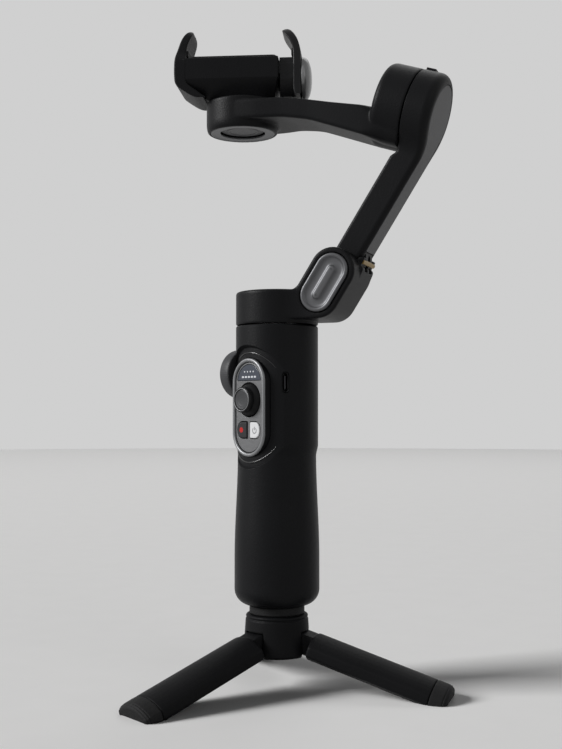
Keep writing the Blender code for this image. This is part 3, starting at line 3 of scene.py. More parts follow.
import bmesh
import bpy
import numpy as np
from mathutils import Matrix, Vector


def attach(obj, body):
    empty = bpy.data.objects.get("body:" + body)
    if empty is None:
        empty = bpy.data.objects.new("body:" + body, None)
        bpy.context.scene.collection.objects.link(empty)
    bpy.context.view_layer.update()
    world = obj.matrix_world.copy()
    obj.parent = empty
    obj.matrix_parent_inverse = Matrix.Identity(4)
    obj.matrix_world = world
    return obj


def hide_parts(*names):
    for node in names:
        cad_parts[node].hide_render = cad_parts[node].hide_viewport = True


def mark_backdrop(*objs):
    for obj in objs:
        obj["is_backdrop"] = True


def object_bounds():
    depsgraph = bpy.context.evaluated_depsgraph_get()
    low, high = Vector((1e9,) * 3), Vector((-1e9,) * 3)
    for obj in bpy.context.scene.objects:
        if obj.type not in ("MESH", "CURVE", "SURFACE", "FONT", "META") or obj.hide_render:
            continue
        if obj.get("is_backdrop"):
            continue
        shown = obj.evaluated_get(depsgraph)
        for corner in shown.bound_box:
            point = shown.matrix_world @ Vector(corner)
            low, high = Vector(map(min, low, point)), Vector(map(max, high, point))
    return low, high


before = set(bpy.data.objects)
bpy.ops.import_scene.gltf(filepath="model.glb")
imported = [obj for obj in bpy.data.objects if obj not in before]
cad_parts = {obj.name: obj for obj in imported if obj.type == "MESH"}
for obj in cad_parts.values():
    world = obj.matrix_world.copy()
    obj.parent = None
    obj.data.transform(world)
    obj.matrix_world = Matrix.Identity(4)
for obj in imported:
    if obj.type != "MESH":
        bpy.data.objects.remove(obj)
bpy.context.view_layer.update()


# Tripod hub. A moulded nylon puck, a little wider at the foot, with a slot for each leg's hinge.
# It is turned as one solid, the slots are cut out of it and every edge is then softened.
def lathe(profile, turns=96, ring=False):
    """Carries each (radius, height) point of a profile round Z: (r cos a, r sin a, z).

    With ring, the profile is closed: its last point is joined to its first.
    """
    profile = np.asarray(profile, float)
    angle = np.linspace(0, 2 * np.pi, turns, endpoint=False)
    radius, height = profile[:, :1], profile[:, 1:]
    points = np.stack([radius * np.cos(angle), radius * np.sin(angle), height + 0 * angle], axis=-1)
    return grid(points, ring=ring)


def grid(points, ends=False, ring=False):
    """Points in rows and columns, with quads between neighbours; the columns close round.

    With ends, the first and last rows are filled flat; with ring, the last row joins the first.
    """
    rows, columns = points.shape[:2]
    row = np.arange(rows if ring else rows - 1)[:, None] * columns
    column = np.arange(columns)[None, :]
    beside = (column + 1) % columns
    above = (row + columns) % (rows * columns)
    quads = np.stack([row + column, row + beside, above + beside, above + column], axis=-1)
    faces = quads.reshape(-1, 4).tolist()
    if ends:
        faces.append(list(range(columns))[::-1])
        faces.append(list(range((rows - 1) * columns, rows * columns)))
    return points.reshape(-1, 3), faces


def bend_line(start, end, steps=6):
    """Points of a quarter round between two (radius, height) corners, bulging to the outside."""
    (r0, z0), (r1, z1) = start, end
    angle = np.linspace(0, np.pi / 2, steps)
    if abs(r1) > abs(r0):
        return np.stack([r0 + (r1 - r0) * np.sin(angle), z1 + (z0 - z1) * np.cos(angle)], axis=1)
    return np.stack([r1 + (r0 - r1) * np.cos(angle), z0 + (z1 - z0) * np.sin(angle)], axis=1)


def placed(shape, matrix):
    """Moves the points of a shape by a 4 by 4 matrix: rotation times point plus shift."""
    points, faces = shape
    return points @ matrix[:3, :3].T + matrix[:3, 3], faces


def turn_z(degrees, shift=(0, 0, 0)):
    """A turn about Z followed by a shift, as a 4 by 4 matrix."""
    c, s = np.cos(np.radians(degrees)), np.sin(np.radians(degrees))
    return np.array([[c, -s, 0, shift[0]], [s, c, 0, shift[1]], [0, 0, 1, shift[2]], [0, 0, 0, 1.0]])


def facing(outline):
    """The outward unit normals of a closed outline, the mitred mean of the two sides at a point."""
    ahead = np.roll(outline, -1, axis=0) - outline
    ahead /= np.maximum(np.linalg.norm(ahead, axis=1, keepdims=True), 1e-9)
    behind = np.roll(ahead, 1, axis=0)
    mean = ahead + behind
    mean /= np.maximum(np.linalg.norm(mean, axis=1, keepdims=True), 1e-9)
    stretch = np.clip((mean * ahead).sum(1, keepdims=True), 0.5, 1)
    area = (outline[:, 0] * np.roll(outline[:, 1], -1) - outline[:, 1] * np.roll(outline[:, 0], -1)).sum()
    return np.sign(area) * np.stack([mean[:, 1], -mean[:, 0]], axis=1) / stretch


def loft(outline, profile, ring=False):
    """Carries an outline along a profile of (inset, depth) steps: outline - inset * normal, depth."""
    outline = np.asarray(outline, float)
    profile = np.asarray(profile, float)
    flat = outline[None] - profile[:, :1, None] * facing(outline)[None]
    depth = np.broadcast_to(profile[:, 1, None, None], (*flat.shape[:2], 1))
    return grid(np.concatenate([flat, depth], axis=2), not ring, ring)


def box(low, high):
    """A plain block between two corners."""
    (x0, y0, z0), (x1, y1, z1) = low, high
    return loft([(x0, y0), (x1, y0), (x1, y1), (x0, y1)], [(0, z0), (0, z1)])


def shell(name, shape, sharp=38):
    """Puts points in millimetres and their faces into a closed mesh, faces outwards, shaded smooth."""
    points, faces = shape
    mesh = bpy.data.meshes.new(name)
    mesh.from_pydata((points * 0.001).tolist(), [], faces)
    work = bmesh.new()
    work.from_mesh(mesh)
    bmesh.ops.remove_doubles(work, verts=work.verts, dist=1e-6)
    bmesh.ops.dissolve_degenerate(work, edges=work.edges, dist=1e-7)
    bmesh.ops.recalc_face_normals(work, faces=work.faces)
    work.to_mesh(mesh)
    work.free()
    mesh.shade_smooth()
    mesh.set_sharp_from_angle(angle=math.radians(sharp))
    obj = bpy.data.objects.new(name, mesh)
    bpy.context.scene.collection.objects.link(obj)
    return obj


def settled(obj, sharp=38):
    """Takes the mesh as the modifiers leave it and drops the modifiers."""
    graph = bpy.context.evaluated_depsgraph_get()
    mesh = bpy.data.meshes.new_from_object(obj.evaluated_get(graph))
    obj.modifiers.clear()
    obj.data = mesh
    mesh.name = obj.name
    mesh.shade_smooth()
    mesh.set_sharp_from_angle(angle=math.radians(sharp))


def carved(obj, shape, operation="DIFFERENCE"):
    """Cuts a shape out of a piece, or adds it on."""
    tool = shell("tool", shape)
    step = obj.modifiers.new("step", "BOOLEAN")
    step.operation = operation
    step.object = tool
    settled(obj)
    bpy.data.objects.remove(tool)


def softened(obj, cell, passes):
    """Recasts a piece in small cells and relaxes it, which rounds its edges and fillets its corners."""
    recast = obj.modifiers.new("recast", "REMESH")
    recast.mode = "VOXEL"
    recast.voxel_size = cell * 0.001
    relax = obj.modifiers.new("relax", "SMOOTH")
    relax.factor = 0.5
    relax.iterations = passes
    settled(obj, 180)


def dressed(obj, material, body, slot, *nodes):
    """Gives a piece its material, the body it rides on and the nodes it stands for; the finish, slot, is not
    used.
    """
    obj.data.materials.clear()
    obj.data.materials.append(material)
    flat = obj.modifiers.new("flat", "WEIGHTED_NORMAL")
    flat.keep_sharp = True
    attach(obj, body)
    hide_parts(*nodes)


def node(tree, kind, **values):
    """A new shader node with some inputs set; an underscore in a label stands for a blank."""
    made = tree.nodes.new(f"ShaderNode{kind}")
    for label, value in values.items():
        made.inputs[label.replace("_", " ")].default_value = value
    return made


def moulded_grain():
    """Spark-eroded mould texture: fine noise and pits for the bump, slow noise for the tone."""
    group = bpy.data.node_groups.new("moulded_grain", "ShaderNodeTree")
    for label in ("Scale", "Depth"):
        group.interface.new_socket(label, in_out="INPUT", socket_type="NodeSocketFloat")
    for label, kind in (("Normal", "Vector"), ("Tone", "Float"), ("Pits", "Float")):
        group.interface.new_socket(label, in_out="OUTPUT", socket_type=f"NodeSocket{kind}")
    given, result = group.nodes.new("NodeGroupInput"), group.nodes.new("NodeGroupOutput")
    link = group.links.new
    where = node(group, "TexCoord")
    fine = node(group, "TexNoise", Detail=3.0)
    pits = node(group, "TexVoronoi")
    slow = node(group, "TexNoise", Scale=46.0, Detail=4.0)
    both = node(group, "Math")
    both.operation = "MULTIPLY_ADD"
    both.inputs[1].default_value = 0.6
    bump = node(group, "Bump", Distance=0.0002)
    for texture in (fine, pits, slow):
        link(where.outputs["Object"], texture.inputs["Vector"])
    link(given.outputs["Scale"], fine.inputs["Scale"])
    link(given.outputs["Scale"], pits.inputs["Scale"])
    link(pits.outputs["Distance"], both.inputs[0])
    link(fine.outputs["Fac"], both.inputs[2])
    link(both.outputs[0], bump.inputs["Height"])
    link(given.outputs["Depth"], bump.inputs["Strength"])
    link(bump.outputs["Normal"], result.inputs["Normal"])
    link(slow.outputs["Fac"], result.inputs["Tone"])
    link(both.outputs[0], result.inputs["Pits"])
    return group


GRAIN = moulded_grain()


def two_toned(name, dark, light, rough, metal):
    """A material whose colour and roughness run between two values, with the sockets that drive them."""
    material = bpy.data.materials.new(name)
    material.use_nodes = True
    tree = material.node_tree
    shader = tree.nodes["Principled BSDF"]
    shader.inputs["Metallic"].default_value = metal
    tint = node(tree, "Mix")
    tint.data_type = "RGBA"
    tint.inputs[6].default_value = (*dark, 1)
    tint.inputs[7].default_value = (*light, 1)
    gloss = node(tree, "MapRange", To_Min=rough[0], To_Max=rough[1])
    tree.links.new(tint.outputs[2], shader.inputs["Base Color"])
    tree.links.new(gloss.outputs["Result"], shader.inputs["Roughness"])
    return material, shader, tint.inputs[0], gloss.inputs["Value"]


def grained(name, dark, light, rough, scale, depth, metal=0.0, specular=0.2):
    """A moulded finish: the slow tone drives the colour, the pits drive the roughness."""
    material, shader, tone, shine = two_toned(name, dark, light, rough, metal)
    shader.inputs["Specular IOR Level"].default_value = specular
    grain = node(material.node_tree, "Group")
    grain.node_tree = GRAIN
    grain.inputs["Scale"].default_value = scale
    grain.inputs["Depth"].default_value = depth
    link = material.node_tree.links.new
    link(grain.outputs["Tone"], tone)
    link(grain.outputs["Pits"], shine)
    link(grain.outputs["Normal"], shader.inputs["Normal"])
    return material


BLACK_NYLON = grained(
    "black_nylon", (0.0042, 0.0043, 0.0048), (0.007, 0.0071, 0.0078), (0.38, 0.56), 1700, 0.38, 0.0, 0.08
)
HANDLE = turn_z(-28)
LEG_ANGLES = (-90, 30, 150)
hub_profile = np.concatenate(
    [
        [(0, 20.5)],
        bend_line((14.6, 20.5), (15.8, 19.4)),
        [(15.8, 19.1), (15.1, 18.9), (15.1, 18.3), (15.9, 18.1), (17.0, 1.2), (16.2, 0), (0, 0)],
    ]
)
hub = shell("hub_body", placed(lathe(hub_profile, 120), HANDLE))
for angle in LEG_ANGLES:
    carved(hub, placed(box((4.2, -6.4, -9), (40, 6.4, 12.3)), HANDLE @ turn_z(angle)))
softened(hub, 0.36, 5)
dressed(hub, BLACK_NYLON, "handle", "black_plastic", "tripod_hub")


# Folding legs. Broad nylon blades with a crowned top, each hinged in the hub on a narrow tongue.
# Each is moulded in one piece with a low rib under its middle, and its end is cut flat on the table.
def axes(origin, u, v, w):
    """A matrix whose columns are three directions and an origin."""
    matrix = np.eye(4)
    matrix[:3, 0], matrix[:3, 1], matrix[:3, 2], matrix[:3, 3] = u, v, w, origin
    return matrix


def even(outline, count):
    """The same closed line with its points spread evenly along its length."""
    loop = np.concatenate([outline, outline[:1]])
    step = np.linalg.norm(np.diff(loop, axis=0), axis=1)
    length = np.concatenate([[0], np.cumsum(step)])
    at = np.linspace(0, length[-1], count, endpoint=False)
    return np.stack([np.interp(at, length, loop[:, 0]), np.interp(at, length, loop[:, 1])], axis=1)


def fillet(corners, radius, count):
    """A closed outline with each corner replaced by an arc of the given radius.

    The arc starts radius / tan(half the corner's angle) before the corner and turns about the
    centre that lies on the corner's bisector.
    """
    corner = np.asarray(corners, float)
    radius = np.broadcast_to(np.asarray(radius, float), len(corner))[:, None]
    to_last = np.roll(corner, 1, axis=0) - corner
    to_next = np.roll(corner, -1, axis=0) - corner
    last_length = np.linalg.norm(to_last, axis=1, keepdims=True)
    next_length = np.linalg.norm(to_next, axis=1, keepdims=True)
    room = np.minimum(last_length, next_length) * 0.49
    a, b = to_last / last_length, to_next / next_length
    half = np.arccos(np.clip((a * b).sum(1, keepdims=True), -1, 1)) / 2
    tangent = np.minimum(radius / np.tan(np.maximum(half, 1e-4)), room)
    t = np.linspace(0, 1, 9)[None, :, None]
    p0, p2 = corner + a * tangent, corner + b * tangent
    p0, p1, p2 = p0[:, None], corner[:, None], p2[:, None]
    weight = np.sin(half)[:, None]
    top = (1 - t) ** 2 * p0 + 2 * t * (1 - t) * weight * p1 + t**2 * p2
    line = (top / ((1 - t) ** 2 + 2 * t * (1 - t) * weight + t**2)).reshape(-1, 2)
    return even(line, count)


def soft_edge(near, far, near_edge, far_edge):
    """The (inset, depth) steps of a plate whose two rims are quarter rounds."""
    angle = np.linspace(0, np.pi / 2, 5)
    inset, rise = 1 - np.sin(angle), 1 - np.cos(angle)
    front = np.stack([near_edge * inset, near + near_edge * rise], axis=1)
    back = np.stack([far_edge * inset, far - far_edge * rise], axis=1)
    return np.concatenate([front, back[::-1]])


def sweep_arc(middle, radius, start, end, steps):
    """Points of an arc between two angles in degrees."""
    turn = np.radians(np.linspace(start, end, steps))
    return np.stack([middle[0] + radius * np.cos(turn), middle[1] + radius * np.sin(turn)], axis=1)


LEG_DROP = math.radians(17.4)
TABLE = -17.02


def leg_place(angle):
    """A leg's own axes from its hinge: out along the blade, across it and up from it."""
    out = (math.cos(LEG_DROP), 0, -math.sin(LEG_DROP))
    up = (math.sin(LEG_DROP), 0, math.cos(LEG_DROP))
    return HANDLE @ turn_z(angle) @ axes((10, 0, 7.5), out, (0, 1, 0), up)


def grounded(shape, level):
    """Lifts every point that lies under a level onto it."""
    points, faces = shape
    points = points.copy()
    points[:, 2] = np.maximum(points[:, 2], level)
    return points, faces


ALONG_X = axes((0, 0, 0), (0, 1, 0), (0, 0, 1), (1, 0, 0))
ALONG_Y = axes((0, 0, 0), (1, 0, 0), (0, 0, 1), (0, 1, 0))
crown = sweep_arc((0, -10), 17, 45.1, 134.9, 11)
blade_corners = np.concatenate([crown, [(-12, -2.67), (-8, -5), (8, -5), (12, -2.67)]])
blade_rounds = np.array([1.4] + [9.0] * 9 + [1.4, 1.5, 1.5, 1.5, 1.5])
blade_section = fillet(blade_corners, blade_rounds, 150)
tongue_corners = [(-4.3, -4.3), (-4.3, 2.6), (-1.3, 4.2), (3.2, 5.6), (14, 5.6), (14, -4.4)]
tongue_outline = fillet(tongue_corners, [4.2, 2.6, 2, 3, 0.5, 0.5], 90)
for number, angle in enumerate(LEG_ANGLES, 1):
    place = leg_place(angle)
    blade = placed(loft(blade_section, soft_edge(9.4, 72.9, 1.2, 0.4)), place @ ALONG_X)
    leg = shell(f"leg_blade_{number}", blade)
    carved(leg, placed(loft(tongue_outline, soft_edge(-6, 6, 0.5, 0.5)), place @ ALONG_Y), "UNION")
    carved(leg, placed(box((45.7, -5.3, -6), (57.7, 5.3, 0)), place), "UNION")
    softened(leg, 0.4, 4)
    carved(leg, box((-120, -120, TABLE - 30), (120, 120, TABLE + 0.1)))
    dressed(leg, BLACK_NYLON, f"leg_{number}", "black_plastic", f"leg_{number}")


# Leg feet. Soft rubber caps pushed over the leg ends, with two grip ridges moulded round the tip.
# The sole is flat on the table and the tip is rounded off.
FOOT_RUBBER = grained("foot_rubber", (0.005, 0.005, 0.0053), (0.0085, 0.0085, 0.009), (0.52, 0.74), 1500, 0.6)
FOOT_START, FOOT_END = 73.2, 82.0
foot_x = np.linspace(FOOT_START, FOOT_END, 64)
tip = np.clip((foot_x - 79.2) / 2.8, 0, 1)
ridges = sum(np.exp(-(((foot_x - middle) / 0.28) ** 2)) for middle in (79.6, 80.8))
tip_inset = 2.6 * (1 - np.sqrt(1 - 0.998 * tip**2))
foot_inset = 0.3 * ridges + tip_inset + 0.25 * np.exp(-((foot_x - FOOT_START) / 0.2))
foot_profile = np.stack([foot_inset, foot_x], axis=1)
for number, angle in enumerate(LEG_ANGLES, 1):
    sleeve = placed(loft(blade_section, foot_profile), leg_place(angle) @ ALONG_X)
    foot = shell(f"foot_cap_{number}", grounded(sleeve, TABLE))
    dressed(foot, FOOT_RUBBER, f"leg_{number}", "rubber", f"leg_foot_{number}")


# Seat between the tripod and the grip. A plain turned rubber washer with eased edges.
# The grip is screwed down onto it.
seat_profile = np.concatenate(
    [[(0, 24.8)], bend_line((13.4, 24.8), (14.0, 24.2)), bend_line((14.0, 21.3), (13.4, 20.7)), [(0, 20.7)]]
)
seat = shell("grip_washer", placed(lathe(seat_profile, 96), HANDLE))
dressed(seat, FOOT_RUBBER, "handle", "rubber", "grip_seat")


# Grip. A hollow moulded handle, waisted under the thumb, with a soft-touch coat over the plastic.
# A shallow dish is scooped round the control panel; the panel, socket and wheel openings go through it.
# Two fine glossy beads are laid on the dish's floor, one over the panel and one under it.
SOFT_COAT = grained(
    "soft_coat", (0.0042, 0.0044, 0.005), (0.0068, 0.007, 0.0079), (0.3, 0.46), 1700, 0.4, 0.0, 0.1
)
PANEL_MIDDLE = 124.7
PANEL = HANDLE @ axes((0, 0, 0), (1, 0, 0), (0, 0, 1), (0, -1, 0))


def ease(value):
    """A smooth step from 0 to 1: 3 t squared minus 2 t cubed."""
    t = np.clip(value, 0, 1)
    return t * t * (3 - 2 * t)


def pill(width, length, height=0.0, count=160):
    """A stadium outline: two half circles joined by straight sides, its middle at the height given."""
    half = np.linspace(0, np.pi, 40)
    radius, straight = width / 2, (length - width) / 2
    top = np.stack([radius * np.cos(half), radius * np.sin(half) + straight], axis=1)
    return even(np.concatenate([top, -top]), count) + (0, height)


def grip_surface():
    """A turned solid whose radius runs over foot, belly, waist and head, joined by smooth steps."""
    z = np.concatenate([np.linspace(33, 97, 60), np.linspace(98, 108, 31), np.linspace(110, 165.4, 40)])
    side = 21.6 - 1.6 * ease((z - 49) / 52) + 1.0 * ease((z - 100) / 6)
    bend = np.linspace(0, np.pi / 2, 14)[:-1]
    foot_r, foot_z = 13.6 + 8 * np.sin(bend), 33 - 8 * np.cos(bend)
    radius = np.concatenate([[0], foot_r, side, [20.6, 0]])
    height = np.concatenate([[25], foot_z, z, [166, 166]])
    return lathe(np.stack([radius, height], axis=1), 240)


def joined(*shapes):
    """Several shapes as one list of points and faces."""
    points, faces = [], []
    for some, theirs in shapes:
        shift = sum(len(p) for p in points)
        points.append(some)
        faces += [[index + shift for index in face] for face in theirs]
    return np.concatenate(points), faces


def bevelled(obj, width, segments, degrees):
    """Rounds off every edge that turns by more than an angle; the width is in millimetres."""
    edge = obj.modifiers.new("edge", "BEVEL")
    edge.width = width * 0.001
    edge.segments = segments
    edge.limit_method = "ANGLE"
    edge.angle_limit = math.radians(degrees)
    settled(obj)


def dish_floor(x):
    """The dish's floor is a cylinder of 25 mm about a line behind the axis: w = sqrt(625 - x^2) - 6.4."""
    return np.sqrt(625 - x**2) - 6.4


def dish(width, length, slope):
    """A hollow round the panel, as a solid to cut with: its wall slopes out from the floor to a pill."""
    rim = pill(width, length, 0, 240)
    foot = rim - slope * facing(rim)
    flat = foot[None] * np.linspace(0.02, 1, 26)[:, None, None]
    floor_w = dish_floor(flat[..., 0])
    flat = np.concatenate([flat, rim[None], rim[None]])
    w = np.concatenate([floor_w, floor_w[-1:] + 2.5, np.full((1, 240), 40.0)])
    return grid(np.concatenate([flat + (0, PANEL_MIDDLE), w[..., None]], axis=2), ends=True)


def bead(side):
    """A fine tube along an arc on the dish's floor, over (1) or under (-1) the panel, thin at both ends.

    Centre: 17.45 (cos a, sin a) from a place 10 mm off the panel's middle, at the height of the floor.
    """
    turn = np.radians(np.linspace(32, 148, 90))
    out = np.stack([np.cos(turn), side * np.sin(turn)], axis=1)
    centre = 17.45 * out + (0, PANEL_MIDDLE + 10 * side)
    level = dish_floor(centre[:, 0])
    thick = 0.06 + 0.36 * np.sqrt(np.clip(1 - ((turn - np.pi / 2) / np.radians(58.5)) ** 2, 0, 1))
    around = np.linspace(0, 2 * np.pi, 14, endpoint=False)
    flat = centre[:, None] + (thick[:, None] * np.cos(around))[..., None] * out[:, None]
    w = level[:, None] + thick[:, None] * np.sin(around)
    return grid(np.concatenate([flat, w[..., None]], axis=2), ends=True)


PORT = HANDLE @ axes((0, 0, 137), (0.5, 0.866025, 0), (0, 0, 1), (0.866025, -0.5, 0))
WHEEL = HANDLE @ axes((-23.2, -6.5, 142), (0, 1, 0), (0, 0, 1), (-1, 0, 0))
grip = shell("grip_handle", placed(grip_surface(), HANDLE))
carved(grip, placed(dish(42.6, 62.6, 1.3), PANEL))
inside = [(0, 40), (15, 40), (18.2, 44), (18.2, 160), (18.6, 160), (18.6, 172), (0, 172)]
carved(grip, placed(lathe(inside), HANDLE))
through_wall = [(0, 9), (0, 40)]
carved(grip, placed(loft(pill(24.8, 50, PANEL_MIDDLE), through_wall), PANEL))
carved(grip, placed(loft(pill(3.7, 10.6), through_wall), PORT))
carved(grip, placed(lathe([(0, -7.4), (13.1, -7.4), (13.1, 20), (0, 20)]), WHEEL))
bevelled(grip, 0.3, 3, 26)
dressed(grip, SOFT_COAT, "handle", "black_plastic", "grip_shell")
BEAD_GLOSS = grained(
    "bead_gloss", (0.006, 0.0062, 0.007), (0.009, 0.0092, 0.01), (0.16, 0.26), 1700, 0.1, 0.0, 0.6
)
line_bead = shell("dish_bead", placed(joined(bead(-1), bead(1)), PANEL))
dressed(line_bead, BEAD_GLOSS, "handle", "black_plastic", "grip_shell")


# Panel bezel. A bright-grey satin rim on a black footing, pressed into the dish round the control panel.
# It is a moulded ring with a full round front; its side under the front is a black footing, which is painted
# shade on that side.
BEZEL_GREY = grained(
    "bezel_grey", (0.16, 0.163, 0.168), (0.21, 0.213, 0.22), (0.3, 0.42), 1800, 0.3, 0.5, 0.5
)


def on_panel(name, outline, profile, ring=False):
    """A piece whose outline lies in the panel's plane and whose profile stands out of it."""
    return shell(name, placed(loft(outline, profile, ring), PANEL))


bezel_line = pill(24.2, 49.4, PANEL_MIDDLE, 200)
rim_turn = np.linspace(0, np.pi, 15)
rim_front = np.stack([0.95 - 0.95 * np.cos(rim_turn), 18.95 + 0.85 * np.sin(rim_turn)], axis=1)
rim_profile = np.concatenate([[(0, 18.65)], rim_front, [(1.9, 18.65)]])
bezel = on_panel("panel_bezel", bezel_line, rim_profile, True)
dressed(bezel, BEZEL_GREY, "handle", "grey_plastic", "bezel_ring")
# The footing's black is painted shade on the bezel's side wall.
footing_profile = [(0.03, 13.2), (0.03, 18.6), (1.87, 18.6), (1.87, 13.2)]
footing = on_panel("bezel_shade_footing", bezel_line, footing_profile, True)
dressed(footing, SOFT_COAT, "handle", "black_plastic", "bezel_ring")


# Control plate. A thin satin grey plate inside the bezel, punched for the stick, the buttons and the window.
# It is moulded and sprayed, with slightly eased edges.
PLATE_GREY = grained(
    "plate_grey", (0.1, 0.101, 0.104), (0.13, 0.131, 0.135), (0.34, 0.46), 1800, 0.5, 0.35, 0.5
)
STICK_HEIGHT, KEY_HEIGHT, WINDOW_HEIGHT = 128.5, 113.4, 137.3


def disc(radius, middle, count=96):
    """A circle as an outline."""
    angle = np.linspace(0, 2 * np.pi, count, endpoint=False)
    return np.stack([radius * np.cos(angle), radius * np.sin(angle)], axis=1) + middle


def half_button(side, grow):
    """One half of the button pill: straight at the split, half round at its outer end."""
    near, far = 1.2 - grow, 8.5 + grow
    tall = 4 + grow
    corners = [(side * near, -tall), (side * far, -tall), (side * far, tall), (side * near, tall)]
    return fillet(corners, [0.7, tall - 0.05, tall - 0.05, 0.7], 110) + (0, KEY_HEIGHT)


def window_outline(grow):
    """The indicator window: the upper part of a disc, cut off level, its two corners just rounded."""
    radius, foot = 8.9 + grow, 0.9 - grow
    side = math.asin(foot / radius)
    turn = np.linspace(side, np.pi - side, 31)
    arch = np.stack([radius * np.cos(turn), radius * np.sin(turn)], axis=1)
    rounds = np.concatenate([[0.5], np.full(29, 2.0), [0.5]])
    return fillet(arch, rounds, 120) + (0, WINDOW_HEIGHT)


plate = on_panel("control_face", pill(19.8, 45, PANEL_MIDDLE), soft_edge(17.4, 18.9, 0.15, 0.35))
stick_opening = disc(8.8, (0, STICK_HEIGHT))
for opening in (stick_opening, half_button(-1, 0.45), half_button(1, 0.45), window_outline(0.2)):
    carved(plate, placed(loft(opening, [(0, 10), (0, 30)]), PANEL))
bevelled(plate, 0.22, 2, 50)
dressed(plate, PLATE_GREY, "handle", "grey_plastic", "control_plate")


# Indicator window. A smoked glossy lens set flush at the top of the panel, with pale marks printed on it.
# The marks are four small round lamps over a row of plain bars.
SMOKED = grained("smoked_window", (0.05, 0.056, 0.072), (0.068, 0.076, 0.094), (0.08, 0.16), 1500, 0.02)
PALE_PRINT = grained("pale_print", (0.5, 0.52, 0.55), (0.62, 0.63, 0.66), (0.35, 0.5), 2600, 0.05)
window = on_panel("window_lens", window_outline(0), soft_edge(17.0, 18.85, 0.1, 0.3))
dressed(window, SMOKED, "handle", "smoked_lens", "indicator_lens")
mark_depth = soft_edge(18.8, 18.9, 0.01, 0.03)
marks_shape = [loft(disc(0.42, (x, 142.6), 24), mark_depth) for x in (-3.3, -1.1, 1.1, 3.3)]
for x in (-5.4, -3.1, -0.8, 1.5, 3.8):
    bar = fillet([(x, 139.5), (x + 1.6, 139.5), (x + 1.6, 140.4), (x, 140.4)], 0.2, 32)
    marks_shape.append(loft(bar, mark_depth))
marks = shell("window_marks", placed(joined(*marks_shape), PANEL))
dressed(marks, PALE_PRINT, "handle", "pale_plastic", "indicator_lens")


# Joystick. A thumb stick with a round ribbed cap, a dished grey disc let into its top and a fine light-grey
# ring on the cap's top edge, which is a painted highlight.
# Under it a smooth ball-shaped boot is moulded round the stick's pivot.
# The boot turns in the round opening without touching it.
STICK_DARK = grained(
    "stick_dark", (0.004, 0.004, 0.0045), (0.007, 0.007, 0.0075), (0.26, 0.4), 2000, 0.2, 0.0, 0.14
)
STICK_GREY = grained("stick_grey", (0.04, 0.041, 0.043), (0.06, 0.061, 0.064), (0.3, 0.42), 2000, 0.25, 0.3)
STICK = PANEL @ axes((0, STICK_HEIGHT, 0), (1, 0, 0), (0, 1, 0), (0, 0, 1))
STICK_PIVOT = 14.5


def ribbed(shape, inner, depth, count):
    """Draws the rim in where a cosine round the axis is low: r - depth * (1 - cos(count * a)) / 2."""
    points, faces = shape
    radius = np.hypot(points[:, 0], points[:, 1])
    angle = np.arctan2(points[:, 1], points[:, 0])
    drawn = radius - depth * (1 - np.cos(count * angle)) / 2
    scale = np.where(radius > inner, drawn / np.maximum(radius, 1e-9), 1)
    return points * np.stack([scale, scale, np.ones_like(scale)], axis=1), faces


cap_profile = [
    (0, 16.4), (2.4, 16.4), (2.4, 20.6), (6.1, 20.6), (6.42, 20.7), (6.56, 21.0), (6.6, 21.5), (6.54, 22.8),
    (6.45, 23.2), (6.32, 23.55), (6.05, 23.8), (5.65, 23.9), (5.3, 23.85), (5.07, 23.68), (5.0, 23.3),
    (0, 23.3),
]
cap = shell("stick_cap", placed(ribbed(lathe(cap_profile, 240), 6.46, 0.12, 40), STICK), 50)
boot_turn = np.radians(np.linspace(37, 87, 26))
boot_line = np.stack([np.sin(boot_turn), np.cos(boot_turn)], axis=1)
boot_profile = np.concatenate([8.86 * boot_line, 9.19 * boot_line[::-1]]) + (0, STICK_PIVOT)
boot = shell("stick_boot", placed(lathe(boot_profile, 120, True), STICK))
dish_r = np.linspace(0, 4.7, 24)
dish_w = 23.36 + 0.36 * (dish_r / 4.7) ** 2 + 0.05 * np.exp(-(((dish_r - 3.2) / 0.25) ** 2))
disc_edge = [(4.92, 23.6), (4.95, 23.4), (4.95, 23.1), (0, 23.1)]
top_profile = np.concatenate([np.stack([dish_r, dish_w], axis=1), disc_edge])
top = shell("stick_disc", placed(lathe(top_profile, 96), STICK))
# A thin light-grey ring on the cap's top edge: a painted highlight standing for the edge's glint.
rim = shell("stick_glint_ring", placed(lathe(disc(0.24, (5.5, 23.84), 16), 120, True), STICK))
for piece, look in ((cap, STICK_DARK), (boot, STICK_DARK), (top, STICK_GREY), (rim, BEZEL_GREY)):
    dressed(piece, look, "joystick_cap", "dark_plastic", "joystick_cap")


# Record and power keys. Two halves of a pill: the left one dark with a red dot, the right one white.
# Both are moulded keys with softly rounded edges and printed marks; the right mark is a plain power sign.
KEY_DARK = grained("key_dark", (0.016, 0.016, 0.017), (0.026, 0.026, 0.028), (0.3, 0.42), 2600, 0.1)
KEY_WHITE = grained("key_white", (0.56, 0.565, 0.575), (0.66, 0.665, 0.67), (0.28, 0.4), 2600, 0.06)
RED_PRINT = grained("red_print", (0.34, 0.012, 0.012), (0.46, 0.02, 0.018), (0.3, 0.45), 2600, 0.06)
GREY_PRINT = grained("grey_print", (0.1, 0.1, 0.105), (0.14, 0.14, 0.145), (0.35, 0.5), 2600, 0.06)
key_profile = soft_edge(15.4, 19.4, 0.2, 0.55)
record = on_panel("record_key", half_button(-1, 0), key_profile)
dressed(record, KEY_DARK, "record_button", "record_plastic", "record_button")
power = on_panel("power_key", half_button(1, 0), key_profile)
dressed(power, KEY_WHITE, "power_button", "pale_plastic", "power_button")
dot = on_panel("record_dot", disc(1.35, (-5.2, KEY_HEIGHT), 48), soft_edge(19.3, 19.44, 0.01, 0.03))
dressed(dot, RED_PRINT, "record_button", "record_plastic", "record_button")
SIGN = (4.85, 113.2)
arc = np.concatenate([sweep_arc(SIGN, 1.55, 125, 415, 40), sweep_arc(SIGN, 1.2, 125, 415, 40)[::-1]])
stroke = [(4.67, 113.4), (5.03, 113.4), (5.03, 115.1), (4.67, 115.1)]
ink = [(0, 19.3), (0, 19.44)]
